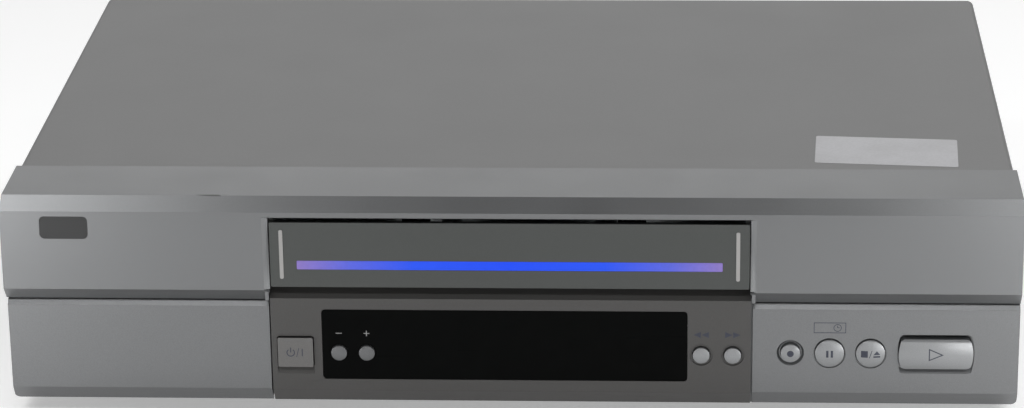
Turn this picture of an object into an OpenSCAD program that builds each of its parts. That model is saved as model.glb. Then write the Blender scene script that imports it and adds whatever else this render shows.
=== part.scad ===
// Front-loading video cassette recorder, in millimetres.
// +X is to the viewer's right, the front faces -Y and the feet stand on Z = 0.
// The origin is under the middle of the recorder, rear sockets included.

/* [Casing] */
// Width of the front bezel, the widest part
body_w = 400; // [390:1:440]
// Height of the casing above its feet
body_h = 87; // [85:1:120]
// Depth from the brow face to the back of the cover
body_d = 270; // [268:1:340]
// Height of the feet
feet_h = 7; // [5:0.5:14]
// Radius of a foot
foot_r = 17; // [10:0.5:24]
// Depth of the front bezel, as far as its seam with the cover
bezel_d = 41; // [40:0.5:48]
// Step from the side of the bezel in to the side of the cover
cover_step = 0.8; // [0.6:0.1:3]
// Step from the top of the bezel down to the top of the cover
cover_drop = 0.3; // [0:0.1:1]
// Thickness of the sheet steel
sheet_t = 0.8; // [0.6:0.1:1.2]
// Wall of the plastic mouldings
wall_t = 2.2; // [1.8:0.1:2.6]
// Outside radius of the cover's long bends
cover_bend_r = 3; // [1.5:0.1:5]
// Radius of a bottom corner of the bezel
corner_r = 2.4; // [1.5:0.1:5]

/* [Front profile] */
// How far the top edge of the brow leans back
top_bevel_back = 7.4; // [4:0.1:9]
// Height of the bevel above the brow face
top_bevel_drop = 4.3; // [3:0.1:6]
// Height of the lower panels
lower_h = 43.5; // [42:0.5:46]
// Gap in height from the lower panels up to the brow face
brow_gap = 6.6; // [6:0.1:8]
// How far the lower panels sit behind the brow face
lower_back = 4.5; // [4:0.1:5.5]
// How far the centre fascia sits behind the brow face
fascia_back = 3; // [2.5:0.1:3.5]
// Width of the centre fascia
fascia_w = 189.6; // [186:0.2:192]
// Height of the bevel along the bottom of the front
bottom_bevel_h = 6.2; // [4:0.1:8]
// Seam between neighbouring front mouldings
seam = 0.7; // [0.4:0.1:1.2]

/* [Cassette and door] */
// Width of the cassette that the recorder takes
cassette_w = 187; // [184:0.5:188]
// Thickness of that cassette
cassette_h = 25; // [24:0.5:26]
// Play of the cassette in its holder
cassette_play = 1; // [0.5:0.1:1.5]
// Thickness of the cassette door
door_t = 2.4; // [2:0.1:3]
// How far the door face sits behind the brow face
door_back = 1.5; // [1:0.1:2]
// Radius of the door's hinge pins
door_pin_r = 1.1; // [0.8:0.1:1.4]
// Width of the chamfer at each end of the door opening
door_chamfer = 2.3; // [1.5:0.1:3]
// Height of the chamfer along the top of the door opening
door_chamfer_top = 0.8; // [0.4:0.1:1.2]

/* [Display window] */
// Fascia left of the window
window_gap_left = 20.1; // [19:0.1:22]
// Fascia right of the window
window_gap_right = 24.9; // [24.5:0.1:28]
// Bottom edge of the window above the casing's bottom
window_low = 11.1; // [10:0.1:12]
// Top edge of the window above the casing's bottom
window_high = 40.9; // [39:0.1:42]
// Thickness of the window
window_t = 1.8; // [1.2:0.1:2.2]

/* [Buttons] */
// Height of the row of button centres above the casing's bottom
button_z = 22.5; // [21:0.1:24]
// How far the record, pause and stop buttons sit above that row
key_rise = 0.6; // [0:0.1:1.5]
// Travel of a button
button_travel = 1; // [0.5:0.1:1.2]
// Play between a button and its hole
button_play = 0.35; // [0.3:0.05:0.6]
// How far a button stands proud of its panel
button_proud = 1.2; // [0.8:0.1:1.6]
// Rise of a round button's domed face as a share of its radius
button_dome = 0.16; // [0.05:0.01:0.25]
// Width of the power button
power_w = 14; // [12:0.1:15]
// Height of the power button
power_h = 12.4; // [10:0.1:13]
// Radius of the two channel buttons
channel_r = 3.1; // [2.5:0.1:3.6]
// Radius of the rewind and fast-forward buttons
wind_r = 3.3; // [2.5:0.1:3.8]
// Radius of the record button
record_r = 3.8; // [3:0.1:4.2]
// Radius of the pause and stop buttons
pause_r = 5.7; // [4.5:0.1:6.2]
// Width of the play button
play_w = 29.2; // [26:0.1:32]
// Height of the play button
play_h = 12.6; // [10:0.1:13]

/* [Tape deck] */
// Height of the deck plate above the casing's bottom
deck_rise = 17; // [16.5:0.1:18]
// Thickness of the deck plate
deck_t = 1.6; // [1.2:0.1:2]
// Distance between the two reel hubs
hub_pitch = 92; // [90:0.5:94]
// Radius of the reel table rims
reel_r = 26; // [24:0.5:27]
// Radius of the head drum
drum_r = 31; // [28:0.1:31.5]
// Lean of the head drum, in degrees
drum_tilt = 6; // [0:0.5:7]
// Travel of the cassette holder from the door inwards
load_travel = 56; // [50:0.5:57]
// Drop of the cassette holder on to the reels
drop_travel = 22; // [18:0.5:23]
// Length of the cassette holder
holder_len = 88; // [80:1:90]
// Radius of the capstan shaft
capstan_r = 1.5; // [1.2:0.1:2]
// Pitch radius of the two loading gears
loading_gear_r = 12; // [11:0.5:12]
// Teeth on a loading gear
loading_teeth = 24; // [20:1:28]
// Distance from a loading arm's pivot to its guide roller
loading_arm_len = 38; // [37:0.5:39]
// Swing of a loading arm, in degrees
loading_swing = 81; // [70:1:82]

/* [Electronics and rear] */
// Thickness of the circuit boards
board_t = 1.6; // [1.2:0.1:2]
// How far the aerial sockets reach behind the rear panel
socket_reach = 10; // [9:0.5:14]
// Outside radius of a phono socket sleeve
phono_r = 4.15; // [3.9:0.05:4.4]
// Distance between neighbouring phono sockets
phono_pitch = 14; // [12:0.5:16]
// Outside radius of an aerial socket
aerial_r = 4.75; // [4.5:0.05:5]
// Width of a 21-pin socket's shell
scart_w = 47; // [44:0.5:48]
// Height of a 21-pin socket's shell
scart_h = 15; // [13:0.5:16]

/* [Hidden] */

// Front brow face, so that the whole depth is centred on the origin
front_y = -(body_d + socket_reach) / 2;
half_w = body_w / 2;
cover_half = half_w - cover_step;
top_z = feet_h + body_h;
cover_top = top_z - cover_drop;
lower_top = feet_h + lower_h;
brow_z = lower_top + brow_gap;
under_z = lower_top + 0.9;
// Face of the bezel's frame, which the lower mouldings are fixed to
frame_y = 9;
frame_in = frame_y + wall_t;
sill_z = brow_z - 1.4;
// Gap between sheet parts that lie side by side
sheet_gap = 0.4;

// The door hangs from pins at its top edge
door_w = cassette_w + 1;
door_h = cassette_h + 2;
door_z = brow_z + 0.9;
door_top = door_z + door_h;
door_open_top = door_top + 1.8;
opening_half = door_w / 2 + 0.4;
door_pin_y = door_back + 4.1;
door_pin_z = door_top + 2;
cheek_t = 2;

// Buttons: places across the front, from the middle
window_left = -fascia_w / 2 + window_gap_left;
window_right = fascia_w / 2 - window_gap_right;
panel_x0 = fascia_w / 2 + seam;
power_x = -fascia_w / 2 + 9.5;
channel_down_x = window_left + 6.7;
channel_up_x = window_left + 17.7;
rewind_x = window_right + 5.4;
forward_x = rewind_x + 12.4;
record_x = panel_x0 + 14.9;
pause_x = record_x + 15.4;
stop_x = pause_x + 16.1;
play_x = stop_x + 25.6;
row_z = feet_h + button_z;
keys_z = row_z + key_rise;
power_z = row_z + 0.4;
play_z = row_z + 0.7;

// Front circuit board and the switches on it
front_board_y = 21;
switch_body = 6;
switch_h = 3.5;
switch_r = 1.7;
switch_gap = 0.15;
plunger_y = front_board_y - switch_h - 0.8;
flange_t = 1;
flange_lip = 1.2;

// Tape deck levels, from the bottom up
deck_z = feet_h + deck_rise;
deck_top = deck_z + deck_t;
deck_half = 110;
holder_front = 38;
deck_front = holder_front;
holder_t = 1;
holder_half = cassette_w / 2 + cassette_play;
holder_z = sill_z + holder_t;
holder_h = cassette_h + cassette_play;
holder_lip = 10;
carriage_t = 1.2;
carriage_half = holder_half + holder_t + 0.7;
bracket_half = carriage_half + carriage_t + 1;
bracket_t = 1.2;
play_level = holder_z - drop_travel;
reel_y = 121;
drum_y = 222;
deck_back = drum_y + 36;
arm_pivot_y = drum_y - 25;
arm_start = -54.6;
arm_z = deck_z - 4.8;
arm_t = 3;
capstan_x = 60;
capstan_y = drum_y - 38;
flywheel_r = 28;
flywheel_z = feet_h + 5;
flywheel_t = 6;
pinch_pivot = [84, 192];
pinch_len = 25.3;
pinch_angle = 248.4;
pinch_roller_r = 6.5;
pinch_at = pinch_pivot + pinch_len * [cos(pinch_angle), sin(pinch_angle)];
tension_pivot = [-76, 150];
tension_end = [-62, 172];
idler_pivot_y = 143;
idler_r = (hub_pitch - 2 * reel_r) / 2 - 3;
cam_at = [-58, 76];
cam_r = 22;

// Boards and rear sockets
board_z = feet_h + 9;
rear_y = body_d - 1.4;
rear_t = 1;
rear_in = rear_y - rear_t;
bay_in = 114;
bay_out = cover_half - sheet_t - sheet_gap - sheet_t - 2;
bay_mid = (bay_in + bay_out) / 2;
scart_x = bay_out - 25.2;
scart_z = [board_z + board_t + scart_h / 2 + 1.4, board_z + board_t + scart_h / 2 + 23.4];
tuner_x = bay_in + 13;
phono_z = feet_h + 66;
inlet_x = -bay_out + 45.2;
inlet_z = feet_h + 22;

module place() translate([0, front_y, 0]) children();

module block(x0, x1, y0, y1, z0, z1) translate([x0, y0, z0]) cube([x1 - x0, y1 - y0, z1 - z0]);

module rod_x(y, z, x0, x1, r)
    translate([x0, y, z]) rotate([0, 90, 0]) cylinder(r = r, h = x1 - x0, $fn = 48);

module rod_y(x, z, y0, y1, r)
    translate([x, y0, z]) rotate([-90, 0, 0]) cylinder(r = r, h = y1 - y0, $fn = 48);

module rod_z(x, y, z0, z1, r) translate([x, y, z0]) cylinder(r = r, h = z1 - z0, $fn = 64);

// A profile of [y, z] points drawn out along X
module bar_x(points, x0, x1) {
    translate([x0, 0, 0]) rotate([90, 0, 90]) linear_extrude(x1 - x0) polygon(points);
}

module round_rect(x0, x1, y0, y1, r) {
    translate([x0 + r, y0]) square([x1 - x0 - 2 * r, y1 - y0]);
    translate([x0, y0 + r]) square([x1 - x0, y1 - y0 - 2 * r]);
    for (x = [x0 + r, x1 - r], y = [y0 + r, y1 - r]) translate([x, y]) circle(r = r, $fn = 32);
}

// A flat shape in X and Z drawn out along Y
module front_shape(y0, y1) translate([0, y1, 0]) rotate([90, 0, 0]) linear_extrude(y1 - y0) children();

module front_plate(x0, x1, z0, z1, r, y0, y1) front_shape(y0, y1) round_rect(x0, x1, z0, z1, r);

// What is taken off a square bottom corner of the casing to round it
module corner_waste(side, y0, y1) {
    front_shape(y0, y1) difference() {
        translate([side > 0 ? half_w - corner_r : -half_w - 1, feet_h - 1]) square(corner_r + 1);
        translate([side * (half_w - corner_r), feet_h + corner_r]) circle(r = corner_r, $fn = 48);
    }
}

// A disc with straight-sided teeth, its pitch circle midway up them
module toothed_disc(pitch_r, teeth, turn) {
    depth = pitch_r / teeth * 2.2;
    step = 360 / teeth;
    points = [
        for (i = [0:teeth - 1], c = [[-0.32, -1], [-0.12, 1], [0.12, 1], [0.32, -1]])
            let (a = turn + (i + c[0]) * step, r = pitch_r + c[1] * depth / 2 - 0.15)
                [r * cos(a), r * sin(a)]
    ];
    polygon(points);
}

// The steel wrap over the top and sides
chassis_half = cover_half - sheet_t - sheet_gap;
floor_z = feet_h + sheet_t;
flange_h = 16;
cover_front = bezel_d + sheet_gap;
cover_low = feet_h + 1.5;
side_screw_y = [bezel_d + 24, body_d - 24];
side_screw_z = feet_h + 10;
back_screw_x = [-cover_half + 18, 0, cover_half - 18];
back_screw_z = top_z - 8;
screw_r = 1.45;
screw_play = 0.15;
screw_head_r = 3.4;
screw_head_h = cover_step - 0.2;
vent_w = 2.6;
vent_h = 22;
vent_pitch = 6;
vent_count = 12;
vent_back = body_d - 30;

module cover_outline(inset) {
    half = cover_half - inset;
    r = cover_bend_r - inset;
    low = cover_low - inset;
    high = cover_top - inset;
    translate([-half, low]) square([2 * half, high - r - low]);
    translate([-half + r, low]) square([2 * (half - r), high - low]);
    for (s = [-1, 1]) translate([s * (half - r), high - r]) circle(r = r, $fn = 48);
}

module top_cover() color("#7f8080") place() difference() {
    union() {
        front_shape(cover_front, body_d) difference() {
            cover_outline(0);
            cover_outline(sheet_t);
        }
        for (x = back_screw_x)
            block(x - 10, x + 10, rear_y, rear_y + sheet_t, back_screw_z - 7, cover_top - sheet_t / 2);
    }
    for (s = [-1, 1], y = side_screw_y)
        rod_x(y, side_screw_z, s * cover_half - 2, s * cover_half + 2, screw_r + screw_play);
    for (x = back_screw_x)
        rod_y(x, back_screw_z, rear_y - 1, rear_y + 2, screw_r + screw_play);
    for (s = [-1, 1], i = [0:vent_count - 1])
        translate([s * cover_half, vent_back - i * vent_pitch, feet_h + 50])
            block(-2, 2, -vent_w / 2, vent_w / 2, -vent_h / 2, vent_h / 2);
}

foot_x = half_w - 45;
foot_y = [bezel_d + 21, body_d - 35];
post_x = bracket_half + bracket_t + 5.4;
post_y = [deck_front + 14, deck_back - 10];
post_r = 4;

module bottom_chassis() color("#9aa0a3") place() {
    difference() {
        union() {
            block(-chassis_half, chassis_half, bezel_d, rear_y, feet_h, floor_z);
            for (s = [-1, 1])
                translate([s * (chassis_half - sheet_t / 2), 0, 0])
                    block(-sheet_t / 2, sheet_t / 2, bezel_d + 1, rear_in - 1, feet_h, feet_h + flange_h);
        }
        for (s = [-1, 1], y = side_screw_y)
            rod_x(y, side_screw_z, s * chassis_half - 2, s * chassis_half + 2, screw_r + screw_play);
        for (s = [-1, 1], i = [0:11])
            translate([s * 150, 130 + i * 8, 0]) block(-16, 16, -1.5, 1.5, feet_h - 1, floor_z + 1);
    }
    difference() {
        for (s = [-1, 1], y = post_y) rod_z(s * post_x, y, floor_z, deck_z, post_r);
        for (s = [-1, 1], y = post_y) rod_z(s * post_x, y, deck_z - 8, deck_z + 1, screw_r + screw_play);
    }
}

module feet() color("#2a2b2c") place() {
    for (s = [-1, 1], y = foot_y) {
        translate([s * foot_x, y, 0]) cylinder(r1 = foot_r - 1.5, r2 = foot_r, h = 2, $fn = 64);
        rod_z(s * foot_x, y, 2, feet_h, foot_r);
    }
}

module rear_panel() color("#8d9092") place() difference() {
    block(-chassis_half, chassis_half, rear_in, rear_y, floor_z, cover_top - sheet_t - sheet_gap);
    for (z = scart_z)
        block(scart_x - scart_w / 2 - 0.3, scart_x + scart_w / 2 + 0.3, rear_in - 1, rear_y + 1,
            z - scart_h / 2 - 0.3, z + scart_h / 2 + 0.3);
    for (x = rear_phono_x) rod_y(x, phono_z, rear_in - 1, rear_y + 1, phono_r + 1.35);
    for (z = aerial_z) rod_y(tuner_x, z, rear_in - 1, rear_y + 1, aerial_r + 1.4);
    block(inlet_x - inlet_w / 2 - 0.3, inlet_x + inlet_w / 2 + 0.3, rear_in - 1, rear_y + 1,
        inlet_z - inlet_h / 2 - 0.3, inlet_z + inlet_h / 2 + 0.3);
    for (x = back_screw_x) rod_y(x, back_screw_z, rear_in - 1, rear_y + 1, screw_r + screw_play);
    for (s = [-1, 1]) translate([s * chassis_half, 0, cover_top])
        block(-1, 1, rear_in - 1, rear_y + 1, -cover_bend_r, 1);
    for (i = [0:17], z = [feet_h + 46, feet_h + 62])
        translate([-60 + i * 7, 0, z]) block(-1.5, 1.5, rear_in - 1, rear_y + 1, -5, 5);
}

// The front moulding: the brow over a hollow frame
under_back = 5;
flap_left = -half_w + 0.3;
flap_right = -fascia_w / 2 - seam;
pocket_left = -half_w + 6;
pocket_right = flap_right - 5;
pocket_low = feet_h + 7;
pocket_high = feet_h + 41.5;
pocket_back = 22;
flap_axis = [9.2, feet_h + 3.9];
flap_pin_r = 0.8;
// Room for the flap's lower edge as it swings in
flap_swing_r = norm([frame_y - 0.5, feet_h] - flap_axis) + 0.3;
knuckle_w = 3;
knuckle_r = 1.6;
knuckle_x = [pocket_left - 2, pocket_right - 1];
cutout_gap = 0.8;
cutout_low = feet_h + 9;
cutout_high = feet_h + 41.5;
jack_x = [for (x = [19.5, 33.5, 47.5, 65.5]) pocket_right - x];
jack_z = feet_h + 24;

badge_left = -half_w + 15.8;
badge_right = badge_left + 18.9;
badge_low = feet_h + 71.4;
badge_high = feet_h + 80.5;
badge_t = 0.8;

// The slopes at both ends and along the top of the door opening
module door_chamfers() {
    flare = 1 + 1 / door_back;
    end = opening_half + door_chamfer * flare;
    top = door_open_top + door_chamfer_top * flare;
    intersection() {
        translate([0, 0, brow_z]) linear_extrude(top + 1 - brow_z)
            polygon([[-end, -1], [end, -1], [opening_half, door_back], [-opening_half, door_back]]);
        bar_x([[-1, brow_z - 1], [-1, top], [door_back, door_open_top], [door_back, brow_z - 1]],
            -end - 1, end + 1);
    }
}

module bezel_shell() difference() {
    union() {
        difference() {
            bar_x([[bezel_d, top_z], [top_bevel_back, top_z], [0, top_z - top_bevel_drop],
                [0, brow_z], [under_back, under_z], [frame_y, under_z], [frame_y, feet_h],
                [bezel_d, feet_h]], -half_w, half_w);
            bar_x([[bezel_d + 1, top_z - wall_t], [top_bevel_back + 1, top_z - wall_t],
                [wall_t, top_z - top_bevel_drop - 1], [wall_t, brow_z + 1],
                [under_back + 1.2, under_z + wall_t], [frame_in, under_z + wall_t],
                [frame_in, feet_h + wall_t], [bezel_d + 1, feet_h + wall_t]],
                -half_w + wall_t, half_w - wall_t);
        }
        for (s = [-1, 1]) translate([s * (opening_half + cheek_t / 2), 0, 0])
            block(-cheek_t / 2, cheek_t / 2, 1, holder_front - 2, under_z + 1, door_pin_z + 3.2);
        block(pocket_left - 2, pocket_right + 2, frame_y, pocket_back + 2, pocket_low - 2, pocket_high + 2);
        for (x = [-half_w + 40, -fascia_w / 2 + 34.8, fascia_w / 2 - 34.8, half_w - 40])
            block(x - 8, x + 8, bezel_d - 4, bezel_d + 8, floor_z, feet_h + wall_t);
    }
    block(-opening_half, opening_half, -1, bezel_d + 1, under_z, door_open_top);
    block(-fascia_w / 2 - 0.2, fascia_w / 2 + 0.2, -1, bezel_d + 1, under_z, sill_z + 0.2);
    front_plate(badge_left - 0.1, badge_right + 0.1, badge_low - 0.1, badge_high + 0.1, 2, -1, badge_t);
    door_chamfers();
    rod_x(door_pin_y, door_pin_z, -opening_half - cheek_t - 1, opening_half + cheek_t + 1, door_pin_r + 0.3);
    block(power_x - power_w / 2 - flange_lip - cutout_gap, forward_x + wind_r + flange_lip + cutout_gap,
        frame_y - 1, frame_in + 1, cutout_low, cutout_high);
    block(record_x - record_r - flange_lip - cutout_gap, half_w - 6, frame_y - 1, frame_in + 1, cutout_low,
        cutout_high);
    block(pocket_left, pocket_right, frame_y - 1, pocket_back, pocket_low, pocket_high);
    block(-half_w - 1, flap_right + sheet_gap, frame_y - 1, flap_axis[0] + flap_swing_r, feet_h - 1,
        pocket_low);
    for (x = [0:2]) rod_y(jack_x[x], jack_z, pocket_back - 1, pocket_back + 3, phono_r + 0.3);
    rod_y(jack_x[3], jack_z, pocket_back - 1, pocket_back + 3, 6.3);
    for (s = [-1, 1]) corner_waste(s, -1, bezel_d + 1);
}

// Knuckles that the connector cover turns on, part of the bezel
module bezel_knuckles() difference() {
    for (x = knuckle_x) {
        rod_x(flap_axis[0], flap_axis[1], x, x + knuckle_w, knuckle_r);
        block(x, x + knuckle_w, flap_axis[0] - 1, frame_in, flap_axis[1] + 1.1, pocket_low + 2);
    }
    rod_x(flap_axis[0], flap_axis[1], pocket_left - 4, pocket_right + 4, flap_pin_r + 0.3);
}

module front_bezel() color("#b3b5b6") place() union() {
    bezel_shell();
    bezel_knuckles();
}

// Section of a lower front moulding, open at the back
module lower_section(face, x0, x1, end0, end1) {
    rise = lower_top;
    low = feet_h + bottom_bevel_h;
    difference() {
        bar_x([[frame_y, rise], [face + 1.5, rise], [face, rise - 1.9], [face, low],
            [frame_y - 0.5, feet_h], [frame_y, feet_h]], x0, x1);
        bar_x([[frame_y + 1, rise - wall_t], [face + wall_t + 0.4, rise - wall_t],
            [face + wall_t, rise - wall_t - 0.6], [face + wall_t, low + 0.6],
            [frame_y + 1, feet_h + wall_t + 0.6]], x0 + end0, x1 - end1);
    }
}

module control_panel() color("#b9bbbb") place() difference() {
    union() {
        lower_section(lower_back, panel_x0, half_w, wall_t, wall_t);
        for (b = [[record_x, record_r], [pause_x, pause_r], [stop_x, pause_r]])
            rod_y(b[0], keys_z, lower_back + 1, frame_y - 0.5, b[1] + 1.6);
        front_plate(play_x - play_w / 2 - 2, play_x + play_w / 2 + 2, play_z - play_h / 2 - 2,
            play_z + play_h / 2 + 2, 3, lower_back + 1, frame_y - 0.5);
    }
    for (b = [[record_x, record_r], [pause_x, pause_r], [stop_x, pause_r]]) {
        rod_y(b[0], keys_z, -1, frame_y + 1, b[1] + button_play);
        rod_y(b[0], keys_z, lower_back - 1, lower_back + 0.6, b[1] + 0.7);
    }
    play_outline_cut(play_w + 2 * button_play, play_h + 2 * button_play);
    intersection() {
        translate([0, 0, (play_rise_high + play_rise_low) / 2 - play_z])
            play_outline_cut(play_w + 2 * play_rim, play_rise_high - play_rise_low);
        bar_x([[lower_back - 1, play_rise_low - 1], [lower_back, play_rise_low],
            [lower_back + play_rise_deep, play_z - play_h / 2 - button_play],
            [lower_back + play_rise_deep, play_z + play_h / 2 + button_play],
            [lower_back, play_rise_high], [lower_back - 1, play_rise_high + 1]],
            play_x - play_w, play_x + play_w);
    }
    translate([record_x, lower_back - 0.01, keys_z]) rotate([-90, 0, 0])
        cylinder(r1 = record_r + well_slope, r2 = record_r + 0.7, h = 1.2, $fn = 64);
    corner_waste(1, -1, frame_y + 1);
}

// The shallow dip with sloping ends that the play button lies in
play_rise_high = play_z + play_h / 2 + 1.6;
play_rise_low = play_z - play_h / 2 - 2.3;
play_rise_deep = 1.9;
play_rim = 0.5;

// How far the sloping ring round the record button spreads
well_slope = 1.6;

// How far the play button's ends bow, and the radius that rounds its corners
play_bow = 1.3;
play_corner = 3;

module play_outline(w, h) {
    r = (h * h / 4 + play_bow * play_bow) / (2 * play_bow);
    intersection() {
        round_rect(-w / 2, w / 2, -h / 2, h / 2, play_corner);
        translate([w / 2 - r, 0]) circle(r = r, $fn = 96);
        translate([r - w / 2, 0]) circle(r = r, $fn = 96);
    }
}

module play_outline_cut(w, h) translate([play_x, frame_y + 1, play_z]) rotate([90, 0, 0])
    linear_extrude(frame_y + 2) play_outline(w, h);

// Height and depth of the slope below the power button
power_lip = 3.4;
power_lip_deep = 1.6;

module centre_fascia() color("#8f8f8e") place() difference() {
    x1 = fascia_w / 2;
    low = feet_h + bottom_bevel_h;
    union() {
        difference() {
            bar_x([[holder_front - 3, sill_z], [7.2, sill_z], [fascia_back, sill_z - 3.2],
                [fascia_back, low], [frame_y - 1, feet_h], [frame_y, feet_h],
                [frame_y, sill_z - wall_t], [holder_front - 3, sill_z - wall_t]], -x1, x1);
            bar_x([[frame_y + 1, sill_z - wall_t], [8, sill_z - wall_t],
                [fascia_back + wall_t, sill_z - 4.4], [fascia_back + wall_t, low + 0.6],
                [frame_y + 1, feet_h + 2]], -x1 + 1.5, x1 - 1.5);
        }
        for (x = [rewind_x, forward_x])
            rod_y(x, row_z, fascia_back + 1, frame_y - 0.5, wind_r + 1.6);
        front_plate(power_x - power_w / 2 - 1.6, power_x + power_w / 2 + 1.6, power_z - power_h / 2 - 1.6,
            power_z + power_h / 2 + 1.6, 1.5, fascia_back + 1, frame_y - 0.5);
    }
    front_plate(window_left, window_right, feet_h + window_low, feet_h + window_high, 1.5, -1,
        fascia_back + 3);
    for (x = [rewind_x, forward_x]) {
        rod_y(x, row_z, -1, frame_y + 1, wind_r + button_play);
        rod_y(x, row_z, -1, fascia_back + 0.6, wind_r + 1.2);
    }
    front_plate(power_x - power_w / 2 - button_play, power_x + power_w / 2 + button_play,
        power_z - power_h / 2 - button_play, power_z + power_h / 2 + button_play, 1, -1, frame_y + 1);
    bar_x([[fascia_back - 1, power_z - power_h / 2 - power_lip - 1],
        [fascia_back, power_z - power_h / 2 - power_lip],
        [fascia_back + power_lip_deep, power_z - power_h / 2], [fascia_back - 1, power_z - power_h / 2]],
        power_x - power_w / 2 - button_play, power_x + power_w / 2 + button_play);
}

// The flap over the front sockets, hinged along its bottom edge
module connector_cover() color("#b9bbbb") place() difference() {
    union() {
        lower_section(lower_back, flap_left, flap_right, wall_t, wall_t);
        for (x = knuckle_x)
            rod_x(flap_axis[0], flap_axis[1], x - 3, x + knuckle_w + 1, knuckle_r - 0.1);
    }
    block(flap_left - 1, flap_right + 1, frame_y - 0.3, frame_y + 3, flap_axis[1] + 3, lower_top + 1);
    for (x = knuckle_x) difference() {
        rod_x(flap_axis[0], flap_axis[1], x - 0.4, x + knuckle_w + 0.4, knuckle_r + 0.4);
        rod_x(flap_axis[0], flap_axis[1], x - 2, x + knuckle_w + 2, flap_pin_r);
    }
    corner_waste(-1, -1, frame_y + 4);
}

module display_window() color("#101214") place() difference() {
    union() {
        front_plate(window_left + 0.15, window_right - 0.15, feet_h + window_low + 0.15,
            feet_h + window_high - 0.15, 1.4, fascia_back + 0.2, fascia_back + 0.2 + window_t);
        for (x = [channel_down_x, channel_up_x])
            rod_y(x, row_z, fascia_back + 1, frame_y - 0.5, channel_r + 1.4);
        block(window_left + 0.15, window_right - 0.15, fascia_back + wall_t, fascia_back + wall_t + 1,
            feet_h + window_low - 1.5, feet_h + window_high + 1.5);
    }
    for (x = [channel_down_x, channel_up_x])
        rod_y(x, row_z, -1, frame_y + 1, channel_r + button_play);
}

module badge_plate() color("#3a3c3e") place()
    front_plate(badge_left, badge_right, badge_low, badge_high, 1.9, 0, badge_t);

// Hinge pins, ears and face of the flap that the cassette pushes open
ear_w = 1.5;
strip_half = 83.5;
strip_low = feet_h + 58.4;
strip_high = feet_h + 62;
rib_x = door_w / 2 - 4.5;

module cassette_door() color("#4b4e4c") place() difference() {
    union() {
        front_plate(-door_w / 2, door_w / 2, door_z, door_top, 0.6, door_back, door_back + door_t);
        for (s = [-1, 1]) {
            translate([s * (door_w / 2 - ear_w / 2), 0, 0])
                block(-ear_w / 2, ear_w / 2, door_back + 1, door_pin_y + 1.6, door_top - 8, door_top);
            translate([s * (door_w / 2 - ear_w / 2), 0, 0])
                block(-ear_w / 2, ear_w / 2, door_pin_y - 1.6, door_pin_y + 1.6, door_top - 1, door_pin_z);
            translate([s * (door_w / 2 - ear_w / 2), 0, 0])
                rod_x(door_pin_y, door_pin_z, -ear_w / 2, ear_w / 2, 1.6);
            translate([s * (door_w / 2 + 1.05), 0, 0])
                rod_x(door_pin_y, door_pin_z, -1.55, 1.55, door_pin_r);
            front_plate(s * rib_x - 0.75, s * rib_x + 0.75, feet_h + 54.5, feet_h + 74.9, 0.6,
                door_back - 0.3, door_back + 1);
        }
        rod_x(door_pin_y, door_pin_z, -door_w / 2 - 6.4, -door_w / 2, door_pin_r);
    }
    front_plate(-strip_half - 0.1, strip_half + 0.1, strip_low - 0.1, strip_high + 0.1, 0.5, -1,
        door_back + 1);
}

module door_strip() color("#4d6bff") place()
    front_plate(-strip_half, strip_half, strip_low, strip_high, 0.4, door_back, door_back + 1);

// A round wire wound in a helix about the X axis
module coil_x(y, z, x0, mean_r, wire_r, turns, pitch, sides, rings) {
    n = turns * rings;
    points = [
        for (i = [0:n], j = [0:sides - 1])
            let (a = 360 * i / rings, b = 360 * j / sides, r = mean_r + wire_r * cos(b))
                [x0 + pitch * i / rings + wire_r * sin(b), y + r * cos(a), z + r * sin(a)]
    ];
    walls = [
        for (i = [0:n - 1], j = [0:sides - 1])
            let (k = (j + 1) % sides)
                each [[i * sides + j, (i + 1) * sides + k, i * sides + k],
                    [i * sides + j, (i + 1) * sides + j, (i + 1) * sides + k]]
    ];
    ends = [
        for (j = [1:sides - 2]) each [[0, j, j + 1], [n * sides, n * sides + j + 1, n * sides + j]]
    ];
    polyhedron(points = points, faces = concat(walls, ends), convexity = 8);
}

spring_r = door_pin_r + 0.6;

module door_spring() color("#b9bcc0") place()
    coil_x(door_pin_y, door_pin_z, -opening_half - cheek_t - 3.4, spring_r, 0.25, 4, 0.7, 6, 20);

// Buttons: cap, catch behind the panel and stem up to its switch
catch_y = frame_y - 0.2;
stem_end = plunger_y - button_travel - switch_gap;

module button_stem(x, z) rod_y(x, z, catch_y + flange_t, stem_end, 1.6);

module round_button(x, z, r, face) place() {
    front = face - button_proud;
    dome = r * button_dome;
    dome_r = (r * r + dome * dome) / (2 * dome);
    intersection() {
        rod_y(x, z, front - 1, catch_y, r);
        translate([x, front + dome_r, z]) sphere(r = dome_r, $fn = 128);
    }
    rod_y(x, z, catch_y, catch_y + flange_t, r + flange_lip);
    button_stem(x, z);
}

module power_button() color("#a8a9a8") place() {
    front_plate(power_x - power_w / 2, power_x + power_w / 2, power_z - power_h / 2, power_z + power_h / 2,
        0.7, fascia_back - button_proud, catch_y);
    front_plate(power_x - power_w / 2 - 1, power_x + power_w / 2 + 1, power_z - power_h / 2 - 1,
        power_z + power_h / 2 + 1, 0.7, catch_y, catch_y + flange_t);
    button_stem(power_x, power_z);
}

module channel_down_button() color("#77797a") round_button(channel_down_x, row_z, channel_r, fascia_back);
module channel_up_button() color("#77797a") round_button(channel_up_x, row_z, channel_r, fascia_back);
module rewind_button() color("#c3c5c5") round_button(rewind_x, row_z, wind_r, fascia_back);
module fast_forward_button() color("#c3c5c5") round_button(forward_x, row_z, wind_r, fascia_back);
module record_button() color("#c3c5c5") round_button(record_x, keys_z, record_r, lower_back);
module pause_button() color("#c3c5c5") round_button(pause_x, keys_z, pause_r, lower_back);
module stop_eject_button() color("#c3c5c5") round_button(stop_x, keys_z, pause_r, lower_back);

// Radius of the bowed face of the play button
play_face_r = 26;

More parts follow.
